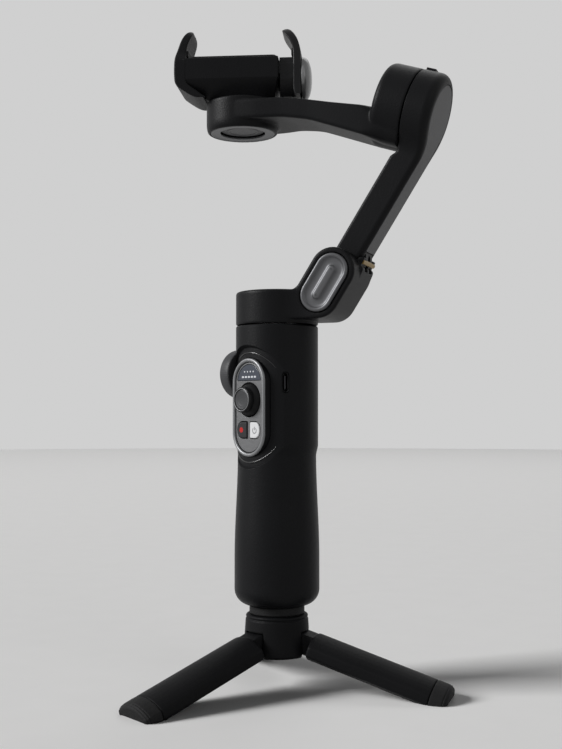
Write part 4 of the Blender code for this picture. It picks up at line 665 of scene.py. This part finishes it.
sign = shell("power_sign", placed(joined(loft(arc, ink), loft(stroke, ink)), PANEL))
dressed(sign, GREY_PRINT, "power_button", "pale_plastic", "power_button")


# Charging socket. A drawn steel sleeve with a rounded mouth, and a thin contact tongue inside it.
# It sits just inside the grip's wall and its lip catches the light; its steel is coloured dark, which is
# painted shade inside the socket.
def brushed(name, dark, light, rough, stretch):
    """Worked metal: noise drawn out along one axis drives the colour, the gloss and a faint bump."""
    material, shader, tone, shine = two_toned(name, dark, light, rough, 1.0)
    tree = material.node_tree
    link = tree.links.new
    where = node(tree, "TexCoord")
    along = node(tree, "Mapping", Scale=stretch)
    lines = node(tree, "TexNoise", Scale=1.0, Detail=5.0)
    bump = node(tree, "Bump", Strength=0.06, Distance=0.0001)
    link(where.outputs["Object"], along.inputs["Vector"])
    link(along.outputs["Vector"], lines.inputs["Vector"])
    for socket in (tone, shine, bump.inputs["Height"]):
        link(lines.outputs["Fac"], socket)
    link(bump.outputs["Normal"], shader.inputs["Normal"])
    return material


# The socket's steel is far darker than the drawn steel of the inner pieces: painted shade inside the socket.
SOCKET_SHADE_STEEL = brushed("socket_shade_steel", (0.035, 0.035, 0.038), (0.06, 0.06, 0.064), (0.32, 0.5), (300, 300, 3000))
DRAWN_STEEL = brushed("drawn_steel", (0.24, 0.24, 0.25), (0.4, 0.4, 0.41), (0.28, 0.45), (300, 300, 3000))
sleeve_profile = [
    (0, 12.8), (0, 20.0), (0.1, 20.25), (0.25, 20.35), (0.4, 20.25), (0.5, 20.0), (0.5, 13.2), (1.6, 13.2),
]
sleeve = loft(pill(3.3, 10.2, 0, 96), sleeve_profile)
contact_line = fillet([(-0.35, -3.4), (0.35, -3.4), (0.35, 3.4), (-0.35, 3.4)], 0.2, 40)
contact = loft(contact_line, soft_edge(12.9, 19.2, 0.05, 0.2))
port = shell("socket_sleeve", placed(joined(sleeve, contact), PORT))
dressed(port, SOCKET_SHADE_STEEL, "handle", "steel", "charge_port")


# Zoom wheel. A moulded thumb wheel let into the grip's left side, finely ribbed round its rim.
# A plain turned disc with one groove closes its face.
WHEEL_DARK = grained("wheel_dark", (0.035, 0.0355, 0.038), (0.05, 0.0505, 0.054), (0.34, 0.48), 1900, 0.25)
DISC_GREY = grained("disc_grey", (0.016, 0.0165, 0.018), (0.025, 0.0255, 0.028), (0.3, 0.42), 2000, 0.2)
wheel_profile = np.concatenate(
    [
        [(9.5, -1.2), (9.5, -0.15), (9.65, 0), (11.8, 0)],
        bend_line((11.9, 0), (12.7, -0.8)),
        [(12.7, -3.5), (12.7, -6.2), (11.9, -7), (2.2, -7), (2.2, -1.2)],
    ]
)
wheel = shell("zoom_rim", placed(ribbed(lathe(wheel_profile, 288, True), 12.6, 0.07, 72), WHEEL), 60)
dressed(wheel, WHEEL_DARK, "zoom_wheel", "dark_plastic", "zoom_wheel")
disc_profile = [
    (0, -0.3), (6.6, -0.2), (6.9, -0.5), (7.3, -0.5), (7.6, -0.15), (8.9, -0.15), (9.2, -0.4), (9.2, -1.0),
    (0, -1.0),
]
face = shell("zoom_face", placed(lathe(disc_profile, 120), WHEEL))
dressed(face, DISC_GREY, "zoom_wheel", "grey_plastic", "zoom_wheel_disc")


# Pan housing with the elbow. The drum over the pan motor runs into a flat-fronted leaning elbow.
# It is one moulding with filleted corners, cut away behind the front cheek where the arm is hinged.
SHELL_BLACK = grained(
    "shell_black", (0.0042, 0.0043, 0.0049), (0.0068, 0.0069, 0.0077), (0.3, 0.46), 1700, 0.36, 0.0, 0.1
)
PIN = np.array([46.4673, 197.017])
ACROSS, ALONG = np.array([0.845262, -0.534352]), np.array([0.534352, 0.845262])
LEAN = 32.3
ELBOW_ROUND = 11.5


def from_pin(points):
    """X-Z points from (across, along) places counted from the fold pin."""
    points = np.asarray(points, float)
    return PIN + points[:, :1] * ACROSS + points[:, 1:] * ALONG


def lug(direction):
    """A hinge lug in X-Z: a clip round the fold pin's inner side, on a stem along the arm or against it."""
    eye = sweep_arc((0, 0), 2.3, 180, 75, 15)
    if direction < 0:
        return even(from_pin(np.concatenate([eye, [(0.6, -4.0), (-2.3, -4.0)]])), 80)
    eye = eye * (1, -1)
    return even(from_pin(np.concatenate([eye, [(0.6, 0.8), (-1.7, 4.2), (-4.5, 4.2), (-4.5, 0)]])), 90)


def crosswise(outline, steps):
    """A solid whose outline lies in X-Z, carried along Y."""
    return placed(loft(outline, steps), ALONG_Y)


def barrel(low, high, radius):
    """A round bar across the arm, about the fold pin."""
    return crosswise(disc(radius, PIN, 64), [(0, low), (0, high)])


drum_profile = np.concatenate(
    [[(0, 183.5)], bend_line((19.6, 183.5), (21, 182.1)), [(21, 166.9), (20.7, 166.55), (0, 166.55)]]
)
elbow_outline = np.concatenate(
    [
        [(3.4, 168.5)],
        sweep_arc((26.6, 180.0), ELBOW_ROUND, -90, -LEAN, 20),
        sweep_arc((34.188, 192.003), ELBOW_ROUND, -LEAN, 180 - LEAN, 50),
        sweep_arc((11.712, 189.2), 6.0, -LEAN, -90, 20),
        [(3.4, 183.2)],
    ]
)
housing = shell("pan_elbow", lathe(drum_profile, 160))
carved(housing, crosswise(even(elbow_outline, 220), soft_edge(-16, 16, 1.3, 1.3)), "UNION")
flow_t = np.linspace(0, 1, 24)
flow_x = 8.95 + 15 * flow_t
flow_y = -18.9 * (1 + flow_t**2 * (2 * flow_t - 3)) - 15.93 * flow_t**2 * (3 - 2 * flow_t)
flow_y += 0.474 * 15 * flow_t * (1 - flow_t) ** 2
flow = np.concatenate([np.stack([flow_x, flow_y], axis=1), [(23.95, -11.7), (8.95, -11.3)]])
carved(housing, loft(flow, soft_edge(168.75, 183.3, 0.5, 1.2)), "UNION")
seat_block = from_pin([(-34.5, -2), (34.5, -2), (34.5, 34.5), (-34.5, 34.5)])
carved(housing, crosswise(seat_block, [(0, -4.5), (0, 40)]))
shoulder = fillet(from_pin([(-6, -2.1), (2.5, -2.1), (3.7, -9.5), (-6, -9.5)]), [0.3, 1.6, 1, 0.3], 90)
carved(housing, crosswise(shoulder, soft_edge(-5.0, 15.9, 0.3, 1.2)), "UNION")
for low, high in ((-5.5, -0.1), (11.9, 15.8)):
    carved(housing, crosswise(lug(-1), [(0, low), (0, high)]), "UNION")
for low, high in ((-0.1, 4.2), (7.6, 11.9)):
    carved(housing, barrel(low, high, 4.6))
LOCK = axes((30.394, 0, 186.0), (ACROSS[0], 0, ACROSS[1]), (ALONG[0], 0, ALONG[1]), (0, -1, 0))
carved(housing, placed(loft(pill(17.3, 31.6), [(0, 11.7), (0, 40)]), LOCK))
carved(housing, lathe([(0, 160), (18.6, 160), (18.6, 181.0), (0, 181.0)]))
softened(housing, 0.42, 7)
dressed(housing, SHELL_BLACK, "pan_unit", "black_plastic", "pan_housing")


# Fold lock. A gunmetal button in the elbow's front: a raised rim, a dished ring and a raised bar.
# It is die-cast and bead-blasted, and slides straight in against a spring.
GUNMETAL = grained("gunmetal", (0.085, 0.086, 0.09), (0.12, 0.121, 0.127), (0.3, 0.44), 2600, 0.14, 0.7)
lock_profile = [
    (0.4, 13.6), (0, 13.9), (0, 16.2), (0.1, 16.55), (0.35, 16.85), (0.8, 17.0), (1.3, 16.98), (1.75, 16.85),
    (2.05, 16.6), (2.3, 16.3), (2.7, 16.12), (3.6, 16.02), (4.6, 16.0), (5.4, 16.05), (5.9, 16.15),
    (6.2, 16.35), (6.4, 16.65), (6.65, 16.85), (7.0, 16.95), (7.6, 17.0), (8.25, 17.0),
]
lock = shell("lock_key", placed(loft(pill(16.7, 31, 0, 200), lock_profile), LOCK), 60)
dressed(lock, GUNMETAL, "fold_lock_button", "gunmetal", "fold_lock_button")


# Upper arm. A flat bar that leans out from the fold pin and widens like a drop at the tilt drum's outer half.
# It is one moulding; its outer face is sunk for a flush cover and two lugs hold the pin.
S_BEND, S_DRUM = 54.64, 80.39
OUTER = -1.6
ARM_MIDDLE = 5.9
ARM_HALF, DRUM_R = 10.0, 21.0
TILT = math.radians(14.2)
BEND_R = 7 / math.tan(TILT / 2)
BLEND_REACH = 8.0
DRUM_M = np.array([-19.6, 76.5])
DRUM_D = np.array([0.9694, 0.2453])


def arm_line(s):
    """The arm's outer face in pin coordinates and its outward normal, at a run s from the pin.

    Straight up to the bend, an arc through 14.2 degrees, then straight over the drum's end.
    """
    turn = np.clip((s - S_BEND) / BEND_R, 0, TILT)
    rest = np.maximum(s - S_BEND - BEND_R * TILT, 0)
    across = OUTER - BEND_R * (1 - np.cos(turn)) - rest * np.sin(TILT)
    along = np.minimum(s, S_BEND) + BEND_R * np.sin(turn) + rest * np.cos(TILT)
    return np.stack([across, along], axis=-1), np.stack([np.cos(turn), np.sin(turn)], axis=-1)


def drop_gap(s, y, half, radius):
    """Signed gap to a drop outline: a strip and a disc joined by a smooth minimum of the blend's reach."""
    strip = np.abs(y) - half + 1e3 * np.clip((s - S_DRUM) / 60, 0, 1)
    round_end = np.hypot(s - S_DRUM, y) - radius
    blend = np.clip(0.5 + 0.5 * (strip - round_end) / BLEND_REACH, 0, 1)
    return strip * (1 - blend) + round_end * blend - BLEND_REACH * blend * (1 - blend)


def drop_half(s, half, radius):
    """Half the drop's width at each run s, found by halving the span where the gap changes sign."""
    low, high = np.zeros_like(s), np.full_like(s, radius + 4)
    for _ in range(40):
        middle = (low + high) / 2
        outside = drop_gap(s, middle, half, radius) > 0
        low, high = np.where(outside, low, middle), np.where(outside, middle, high)
    return low


def arm_points(s, y, depth):
    """Space points of the arm at run s, offset y from its middle and depth under its outer face."""
    line, normal = arm_line(s)
    flat = line - normal * depth[..., None]
    place = PIN + flat[..., :1] * ACROSS + flat[..., 1:] * ALONG
    return np.stack([place[..., 0], ARM_MIDDLE + y + 0 * place[..., 0], place[..., 1]], axis=-1)


def arm_slab(s, y, top, bottom):
    """A closed piece of the arm between two depths: each row runs over the top and back along the bottom."""
    loop = np.concatenate([arm_points(s, y, top), arm_points(s, y, bottom)[:, ::-1]], axis=1)
    return grid(loop, ends=True)


def rolled(gap, radius):
    """Depth of a quarter-round edge at a distance from the edge: R - sqrt(R^2 - (R - gap)^2)."""
    short = np.clip(radius - gap, 0, radius)
    return radius - np.sqrt(np.maximum(radius**2 - short**2, 0))


top_run = S_DRUM + DRUM_R * np.sin(np.linspace(0, np.pi / 2, 60))
runs = np.concatenate([np.linspace(-1.7, 4.79, 8), [4.81], np.linspace(5.2, 80, 120), top_run])
arm_half = drop_half(runs, ARM_HALF, DRUM_R)
room_half = np.where(runs > 4.8, drop_half(runs, 7.8, 16.3), 0)
room_half = np.where(runs > S_DRUM + 16.3, 0, room_half)
inner_y = room_half[:, None] * np.linspace(0, 1, 9)[None] - 0.004
outward = np.sin(np.linspace(0, np.pi / 2, 20))
outer_y = room_half[:, None] + 0.004 + (arm_half - room_half - 0.004)[:, None] * outward
half_y = np.maximum(np.concatenate([inner_y, outer_y], axis=1), 0)
half_y = np.minimum(half_y, arm_half[:, None])
wide = np.concatenate([-half_y[:, ::-1], half_y], axis=1)
run_grid = np.broadcast_to(runs[:, None], wide.shape)
gap = np.maximum(-drop_gap(run_grid, wide, ARM_HALF, DRUM_R), 0)
sunk = (np.abs(wide) < room_half[:, None]) * 1.1
outer_round = (3.0 + 1.5 * ease((runs - 58) / 16))[:, None]
outer_depth = np.maximum(rolled(gap, outer_round), sunk)
line, normal = arm_line(runs)
seam_depth = ((line - DRUM_M) @ DRUM_D - 0.25) / (normal @ DRUM_D)
thick = 14 + (np.minimum(seam_depth, 14) - 14) * ease((runs - 51) / 5)
inner_round = 1.6 - 1.2 * ease((runs - 56) / 8)
inner_depth = thick[:, None] - rolled(gap, 1.0) * inner_round[:, None]
arm = shell("arm_bar", arm_slab(run_grid, wide, outer_depth, inner_depth))
for low, high in ((-8.0, 0.05), (11.75, 18)):
    carved(arm, barrel(low, high, 2.75))
for low, high in ((0.2, 3.9), (7.9, 11.6)):
    carved(arm, crosswise(lug(1), soft_edge(low, high, 0.2, 0.2)), "UNION")
DRUM = axes((70.7781, ARM_MIDDLE, 272.1529), (0.310676, 0, 0.950516), (0, 1, 0), (-0.950516, 0, 0.310676))
tab = fillet([(19, -3.4), (22.2, -2.8), (22.2, 2.8), (19, 3.4)], 0.5, 60)
carved(arm, placed(loft(tab, soft_edge(-5.4, -0.36, 0.4, 0.2)), DRUM), "UNION")
dressed(arm, SHELL_BLACK, "upper_arm", "black_plastic", "upper_arm")


# Arm cover. A satin grey strip that ends in a disc, let flush into the arm's outer face.
# It is moulded in one piece with a plain face and snapped in over the cable run.
COVER_GREY = grained("cover_grey", (0.05, 0.0505, 0.053), (0.068, 0.0685, 0.071), (0.34, 0.46), 1600, 0.45)
COVER_START, COVER_HALF, COVER_R = 5.1, 7.5, 16.0
cover_top = S_DRUM + COVER_R * np.sin(np.linspace(0, np.pi / 2, 40))
cover_runs = np.concatenate([[COVER_START, 5.3], np.linspace(5.8, 80, 90), cover_top])
cover_half = drop_half(cover_runs, COVER_HALF, COVER_R)
cover_y = cover_half[:, None] * np.sin(np.linspace(-np.pi / 2, np.pi / 2, 25))
cover_grid = np.broadcast_to(cover_runs[:, None], cover_y.shape)
cover_gap = np.maximum(-drop_gap(cover_grid, cover_y, COVER_HALF, COVER_R), 0)
cover_gap = np.minimum(cover_gap, np.maximum(cover_grid - COVER_START, 0))
cover = shell("arm_strip", arm_slab(cover_grid, cover_y, rolled(cover_gap, 0.3), 0.9 + 0 * cover_y))
dressed(cover, COVER_GREY, "upper_arm", "dark_plastic", "arm_cover")


# Roll arm. The tilt drum's inner half, a flat arm that sweeps over from it and the roll motor's pot.
# It is one moulding with filleted corners; the pot is open underneath for its ring and disc.
half_drum = np.concatenate(
    [[(0, 0.25), (20.6, 0.25), (21, 0.65)], bend_line((21, 13.4), (18, 16.4), 8), [(0, 16.4)]]
)


def round_corners():
    """The angles of an oblong's four quarter rounds, and the side (1 or -1) on which each lies in u and v."""
    turn = np.radians(np.linspace(0, 90, 7)[None] + np.arange(4)[:, None] * 90).ravel()
    return turn, np.repeat([1, -1, -1, 1], 7), np.repeat([1, 1, -1, -1], 7)


def rounded_bar(along, u, v, radius):
    """A bar of rounded oblong sections: at each step along, u and v run between two given limits.

    A corner point is the corner's centre plus radius * (cos a, sin a).
    """
    (u0, u1), (v0, v1) = (np.broadcast_arrays(*pair, along)[:2] for pair in (u, v))
    radius = np.broadcast_to(radius, along.shape)
    turn, right, top = round_corners()
    centre_u = np.where(right > 0, (u1 - radius)[:, None], (u0 + radius)[:, None])
    centre_v = np.where(top > 0, (v1 - radius)[:, None], (v0 + radius)[:, None])
    flat_u = centre_u + radius[:, None] * np.cos(turn)
    flat_v = centre_v + radius[:, None] * np.sin(turn)
    return grid(np.stack([flat_u, flat_v, along[:, None] + 0 * flat_u], axis=-1), ends=True)


def flowing(x, stations, values):
    """A smooth line through a few stations: straight runs with their corners averaged away."""
    fine_x = np.linspace(stations[0] - 12, stations[-1] + 12, 600)
    line = np.interp(fine_x, stations, values)
    weight = np.hanning(61)
    padded = np.pad(line, 30, mode="reflect", reflect_type="odd")
    return np.interp(x, fine_x, np.convolve(padded, weight / weight.sum(), "valid"))


roll_x = np.linspace(-21, 74, 140)
roll_top = flowing(roll_x, [-22, 4, 18, 32, 50, 76], [282.6, 281.8, 279.8, 276.9, 273.6, 270.0])
low_line = [272.0, 271.6, 269.2, 264.9, 263.1, 258.4, 255.2, 249.4]
roll_low = flowing(roll_x, [-22, 6, 20, 32, 37, 50, 57, 76], low_line)
roll_deep = flowing(roll_x, [-22, -8, 6, 20, 50, 76], [18.9, 18.6, 17.2, 16.5, 16.5, 15.0])
roll_round = 1.5 + 6.3 * ease((roll_x - 46) / 14)
pot_profile = np.concatenate(
    [
        [(0, 284.65), (18.3, 284.65), (19, 283.95), (19, 273.2)],
        bend_line((19, 273.2), (17.6, 268.65), 8),
        [(0, 268.65)],
    ]
)
ROLL = turn_z(15, (-21.4219, ARM_MIDDLE, 0))
roll = shell("roll_bracket", placed(lathe(half_drum, 160), DRUM))
roll_back = roll_deep - 3.5 * ease((roll_x + 4) / 24)
roll_span = ARM_MIDDLE - roll_deep, ARM_MIDDLE + roll_back
roll_bar = rounded_bar(roll_x, roll_span, (roll_low, roll_top), roll_round)
carved(roll, placed(roll_bar, ALONG_X), "UNION")
carved(roll, placed(box((-45, -45, -40), (45, 45, 0.27)), DRUM))
carved(roll, placed(lathe(pot_profile, 140), ROLL), "UNION")
softened(roll, 0.45, 8)
carved(roll, placed(lathe([(0, 260), (17.15, 260), (17.15, 271.1), (0, 271.1)]), ROLL))
dressed(roll, SHELL_BLACK, "roll_arm", "black_plastic", "roll_arm")


# Roll motor's cap. A beaded gunmetal ring round a dark recessed disc closes the pot from below.
# The ring is turned and blasted; the disc is a moulded cover with one raised circle.
ring_profile = [
    (11.8, 269.75), (11.8, 269.15), (12.0, 268.98), (12.4, 268.92), (15.5, 268.92), (15.85, 268.8),
    (16.15, 268.66), (16.55, 268.66), (16.85, 268.8), (17.0, 269.1), (17.0, 269.75),
]
ring = shell("pot_ring", placed(lathe(ring_profile, 140, True), ROLL))
dressed(ring, GUNMETAL, "roll_arm", "gunmetal", "roll_cap_ring")
cap_disc = [
    (0, 271.05), (11.4, 271.05), (11.4, 270.6), (11.1, 270.35), (8.4, 270.35), (8.15, 270.15), (7.9, 269.95),
    (7.3, 269.95), (7.05, 270.2), (0, 270.25),
]
under = shell("pot_disc", placed(lathe(cap_disc, 120), ROLL))
dressed(under, COVER_GREY, "roll_arm", "dark_plastic", "roll_cap_disc")


# Cradle. The block on the roll motor that the phone lies on; below its upright faces all four sides draw in.
# It is a moulding with a channel for the slide of the moving jaw.
BASE, FACE_LOW, DECK = 285.253, 295.053, 306.053
LIP = 0.8
lip = np.linspace(0, np.pi / 2, 6)
under_z, face_z = np.linspace(BASE, FACE_LOW, 24)[:-1], np.linspace(FACE_LOW, DECK - LIP, 8)[:-1]
cradle_z = np.concatenate([under_z, face_z, DECK - LIP + LIP * np.sin(lip)])
cradle_in = np.concatenate([np.zeros(30), LIP * (1 - np.cos(lip))])
drop = np.clip((FACE_LOW - cradle_z) / 9.8, 0, 1)
end_drop = np.clip((293.053 - cradle_z) / 7.8, 0, 1)
cradle_deep = 13.5 - 6.4 * drop**1.15 - cradle_in
cradle_span = -30 + 12.5 * end_drop + cradle_in, 19.9 - 2.4 * drop - cradle_in
cradle_shape = rounded_bar(cradle_z, cradle_span, (-cradle_deep, cradle_deep), 0.6)
cradle = shell("cradle_block", placed(cradle_shape, ROLL), 15)
carved(cradle, placed(box((-20.7, -11.2, 296.45), (40, 11.2, 304.053)), ROLL))
bevelled(cradle, 0.3, 2, 14)
dressed(cradle, SHELL_BLACK, "cradle", "black_plastic", "cradle_body")


# Phone jaws. Thin curved hooks with round tips: the left one is fixed, the right one runs on a flat slide.
# Both are stiff mouldings with rounded edges; the fixed one wraps under the cradle's end.
JAW_BLACK = grained("jaw_black", (0.0042, 0.0044, 0.005), (0.0068, 0.007, 0.0078), (0.3, 0.42), 1500, 0.4)
TIP = 322.453
JAW_HALF = 11


def rounded_line(points):
    """Cuts the corners of an open line four times over: quarter points of each side take their place."""
    line = np.asarray(points, float)
    for _ in range(4):
        start, end = line[:-1], line[1:]
        quarters = np.stack([0.75 * start + 0.25 * end, 0.25 * start + 0.75 * end], axis=1).reshape(-1, 2)
        line = np.concatenate([line[:1], quarters, line[-1:]])
    return line


def tongue(inner, outer, root):
    """A jaw of rounded oblong sections between an inner and an outer X-Z line.

    A section point is the middle plus u along the section and v across it; the half depth eases from
    the root's to 11 mm and falls off as a quarter ellipse over the last 9 mm, so the tip is round.
    """
    inner, outer = rounded_line(inner), rounded_line(outer)
    middle, half = (inner + outer) / 2, (outer - inner) / 2
    thick = np.linalg.norm(half, axis=1, keepdims=True)
    rise = np.clip((middle[:, 1:] - (TIP - 9)) / 9, 0, 1)
    wider = (root - JAW_HALF) * (1 - ease((middle[:, 1:] - 304) / 7))
    deep = 3.2 + 7.8 * np.sqrt(1 - 0.999 * rise**2) + wider
    radius = np.minimum(0.9, 0.85 * thick)
    turn, right, top = round_corners()
    u = right * (thick - radius) + radius * np.cos(turn)
    v = top * (deep - radius) + radius * np.sin(turn)
    flat = middle[:, None] + (half / thick)[:, None] * u[..., None]
    return placed(grid(np.concatenate([flat, v[..., None]], axis=2), ends=True), ROLL @ ALONG_Y)


fixed_inner = [
    (-18.3, 285.9), (-21.6, 288.3), (-26.0, 291.5), (-28.1, 293.4), (-28.1, 297), (-28.1, 303), (-28.4, 308),
    (-28.3, 312), (-27.2, 315.4), (-25.9, 318.6), (-25.4, 320.8), (-25.8, 322.2),
]
fixed_outer = [
    (-19.2, 285.3), (-24.0, 285.4), (-30.0, 289.2), (-34.0, 292.2), (-34.5, 297), (-34.5, 303),
    (-33.9, 308.5), (-32.6, 312.4), (-31.2, 316.3), (-29.6, 319.6), (-28.1, 321.7), (-26.7, 322.45),
]
fixed = shell("left_jaw", tongue(fixed_inner, fixed_outer, 13.65))
dressed(fixed, SHELL_BLACK, "cradle", "black_plastic", "fixed_jaw")
moving_inner = [
    (28.2, 286.6), (27.3, 289), (27.3, 298), (27.3, 304), (27.3, 309), (26.8, 312.4), (25.0, 315.8),
    (22.9, 318.4), (21.6, 320.4), (21.2, 321.6), (21.9, 322.3),
]
moving_outer = [
    (30.8, 286.6), (31.5, 289), (31.5, 298), (31.5, 304), (31.4, 308.6), (30.9, 311.6), (29.6, 315.8),
    (27.8, 318.8), (25.9, 321.3), (23.8, 322.45), (22.7, 322.45),
]
moving = shell("right_jaw", tongue(moving_inner, moving_outer, JAW_HALF))
slide_line = fillet([(-10.8, 296.853), (10.8, 296.853), (10.8, 303.653), (-10.8, 303.653)], 1.2, 90)
carved(moving, placed(loft(slide_line, soft_edge(-18.7, 28.3, 0.4, 0.1)), ROLL @ ALONG_X), "UNION")
shoulder_z = np.linspace(286.2, 305.75, 30)
shoulder_deep = 10.7 - 4.6 * np.clip((FACE_LOW - shoulder_z) / 9.8, 0, 1) ** 1.15
shoulder_bar = rounded_bar(shoulder_z, (20.3, 28.4), (-shoulder_deep, shoulder_deep), 0.5)
carved(moving, placed(shoulder_bar, ROLL), "UNION")
dressed(moving, JAW_BLACK, "sliding_jaw", "black_plastic", "sliding_jaw")


# Rubber pads. A thin moulded sheet on the cradle's deck and a strip on the upright face of each jaw.
# They are glued on, and their outer edges are rounded.
pad_line = fillet([(-27, -12.3), (18.7, -12.3), (18.7, 12.3), (-27, 12.3)], 2.0, 120)
pad = shell("deck_pad", placed(loft(pad_line, soft_edge(306.153, 306.953, 0.05, 0.35)), ROLL))
dressed(pad, FOOT_RUBBER, "cradle", "rubber", "cradle_pad")
strip_line = fillet([(-9.8, 307.253), (9.8, 307.253), (9.8, 311.053), (-9.8, 311.053)], 1.0, 100)
left_pad = shell("left_pad", placed(loft(strip_line, soft_edge(-28.45, -27.55, 0.05, 0.35)), ROLL @ ALONG_X))
dressed(left_pad, FOOT_RUBBER, "cradle", "rubber", "fixed_jaw_pad")
right_pad = shell("right_pad", placed(loft(strip_line, soft_edge(26.35, 27.25, 0.35, 0.05)), ROLL @ ALONG_X))
dressed(right_pad, FOOT_RUBBER, "sliding_jaw", "rubber", "sliding_jaw_pad")


# Jaw cap. A glossy light-grey domed button pressed onto the outside of the moving jaw; its grey is partly its
# own colour and partly a painted reflection.
# It is moulded and lacquered, with a fine chamfer round its foot.
# The cap's colour is raised above its own light grey to paint the reflection on the glossy dome.
CAP_GREY_AND_REFLECTION = grained("cap_grey_and_reflection", (0.22, 0.221, 0.223), (0.26, 0.261, 0.263), (0.12, 0.2), 1200, 0.02, 0.3)
dome = np.linspace(0, np.pi / 2, 24)
dome_r = 11.2 * np.sin(dome) ** 0.9
dome_line = np.stack([dome_r, 1.0 + 4.0 * np.cos(dome)], axis=1)
dome_profile = np.concatenate([dome_line, [(11.2, 0.3), (10.9, 0), (0, 0)]])
CAP = ROLL @ axes((31.55, 0, 297.053), (0, 1, 0), (0, 0, 1), (1, 0, 0))
button = shell("jaw_button", placed(lathe(dome_profile, 120), CAP))
dressed(button, CAP_GREY_AND_REFLECTION, "sliding_jaw", "grey_plastic", "jaw_cap")


# Inner pieces. Pins, shafts, motor rings, the battery, the board and their carriers keep their plain shapes.
# They are steel, brass, wound copper, a wrapped cell, a coated board and dark moulded plastic.
INNER_DARK = grained("inner_dark", (0.014, 0.014, 0.015), (0.022, 0.022, 0.024), (0.45, 0.6), 1800, 0.2)
PLAIN_BRASS = brushed("plain_brass", (0.2, 0.135, 0.045), (0.3, 0.205, 0.08), (0.32, 0.5), (900, 2500, 900))
COPPER_WIRE = brushed("copper_wire", (0.42, 0.19, 0.09), (0.66, 0.34, 0.17), (0.3, 0.5), (600, 600, 5000))
CELL_WRAP = grained("cell_wrap", (0.012, 0.07, 0.12), (0.02, 0.1, 0.17), (0.25, 0.35), 900, 0.05)
BOARD_COAT = grained("board_coat", (0.008, 0.07, 0.03), (0.016, 0.12, 0.055), (0.28, 0.42), 700, 0.1)
INNER_LOOKS = {
    DRAWN_STEEL: "leg_pin_1 leg_pin_2 leg_pin_3 tripod_screw pan_bearing pan_shaft pan_rotor "
    "tilt_rotor tilt_shaft roll_rotor roll_shaft",
    PLAIN_BRASS: "thread_insert fold_pin",
    COPPER_WIRE: "pan_stator tilt_stator roll_stator",
    CELL_WRAP: "battery_cell",
    BOARD_COAT: "main_board",
    INNER_DARK: "inner_chassis joystick_socket joystick_yoke wheel_bracket",
}
for look, names in INNER_LOOKS.items():
    for name in names.split():
        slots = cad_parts[name].data.materials
        slots.clear()
        slots.append(look)


# Studio. A pale matt floor under a pale surround, which the camera and the reflections see at its full tone.
# One broad soft lamp stands far off at the front left, a weak one at the front right and a weak one behind.
# The camera stands low, to the right of the front, where the photo was taken.
FLOOR = grained("pale_floor", (0.9, 0.896, 0.89), (0.93, 0.926, 0.92), (0.7, 0.8), 40, 0.0, 0.0, 0.0)
floor = shell("floor", loft(disc(3500, (0, 0), 64), [(0, TABLE - 4), (0, TABLE - 0.05)]))
floor.data.materials.append(FLOOR)


def lamp(name, place, target, size, power):
    """A square area lamp that looks at a point."""
    data = bpy.data.lights.new(name, "AREA")
    data.size = size
    data.energy = power
    obj = bpy.data.objects.new(name, data)
    obj.location = place
    obj.rotation_euler = (Vector(target) - Vector(place)).to_track_quat("-Z", "Y").to_euler()
    bpy.context.scene.collection.objects.link(obj)
    return obj


key = lamp("key", (-19.2, -12, 11.75), (0, 0, 0.15), 8.8, 7168)
fill = lamp("fill", (2.2, -1.2, 1.2), (0, 0, 0.15), 1.6, 6)
back = lamp("back", (0, 2.3, 2.6), (0, 1.5, 0), 2.0, 12)
world = bpy.data.worlds.new("surround")
bpy.context.scene.world = world
world.use_nodes = True
tree = world.node_tree
plain = tree.nodes["Background"]
plain.inputs["Color"].default_value = (0.93, 0.94, 0.95, 1)
plain.inputs["Strength"].default_value = 0.06
seen = node(tree, "Background", Color=(0.63, 0.63, 0.63, 1))
path = node(tree, "LightPath")
either = node(tree, "MixShader")
shown = node(tree, "Math")
also = node(tree, "Math")
shown.operation = also.operation = "MAXIMUM"
for source, target in (
    (path.outputs["Is Camera Ray"], shown.inputs[0]),
    (path.outputs["Is Glossy Ray"], shown.inputs[1]),
    (shown.outputs[0], also.inputs[0]),
    (path.outputs["Is Transmission Ray"], also.inputs[1]),
    (also.outputs[0], either.inputs[0]),
    (plain.outputs[0], either.inputs[1]),
    (seen.outputs[0], either.inputs[2]),
    (either.outputs[0], tree.nodes["World Output"].inputs["Surface"]),
):
    tree.links.new(source, target)

look_from, look_up = math.radians(20), math.radians(1.85)
toward = Vector((math.sin(look_from), -math.cos(look_from), 0))
beside = Vector((math.cos(look_from), math.sin(look_from), 0))
eye = bpy.data.cameras.new("camera")
eye.sensor_width = 36
eye.lens = 52.87
eye.clip_start = 0.01
eye.clip_end = 20
camera = bpy.data.objects.new("camera", eye)
camera.location = toward * 0.563 + beside * 0.00205 + Vector((0, 0, 0.1234))
ahead = -toward * math.cos(look_up) + Vector((0, 0, math.sin(look_up)))
camera.rotation_euler = ahead.to_track_quat("-Z", "Y").to_euler()
bpy.context.scene.collection.objects.link(camera)
bpy.context.scene.camera = camera
bpy.context.scene.view_settings.view_transform = "Standard"
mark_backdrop(floor, key, fill, back, camera)

low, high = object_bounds()
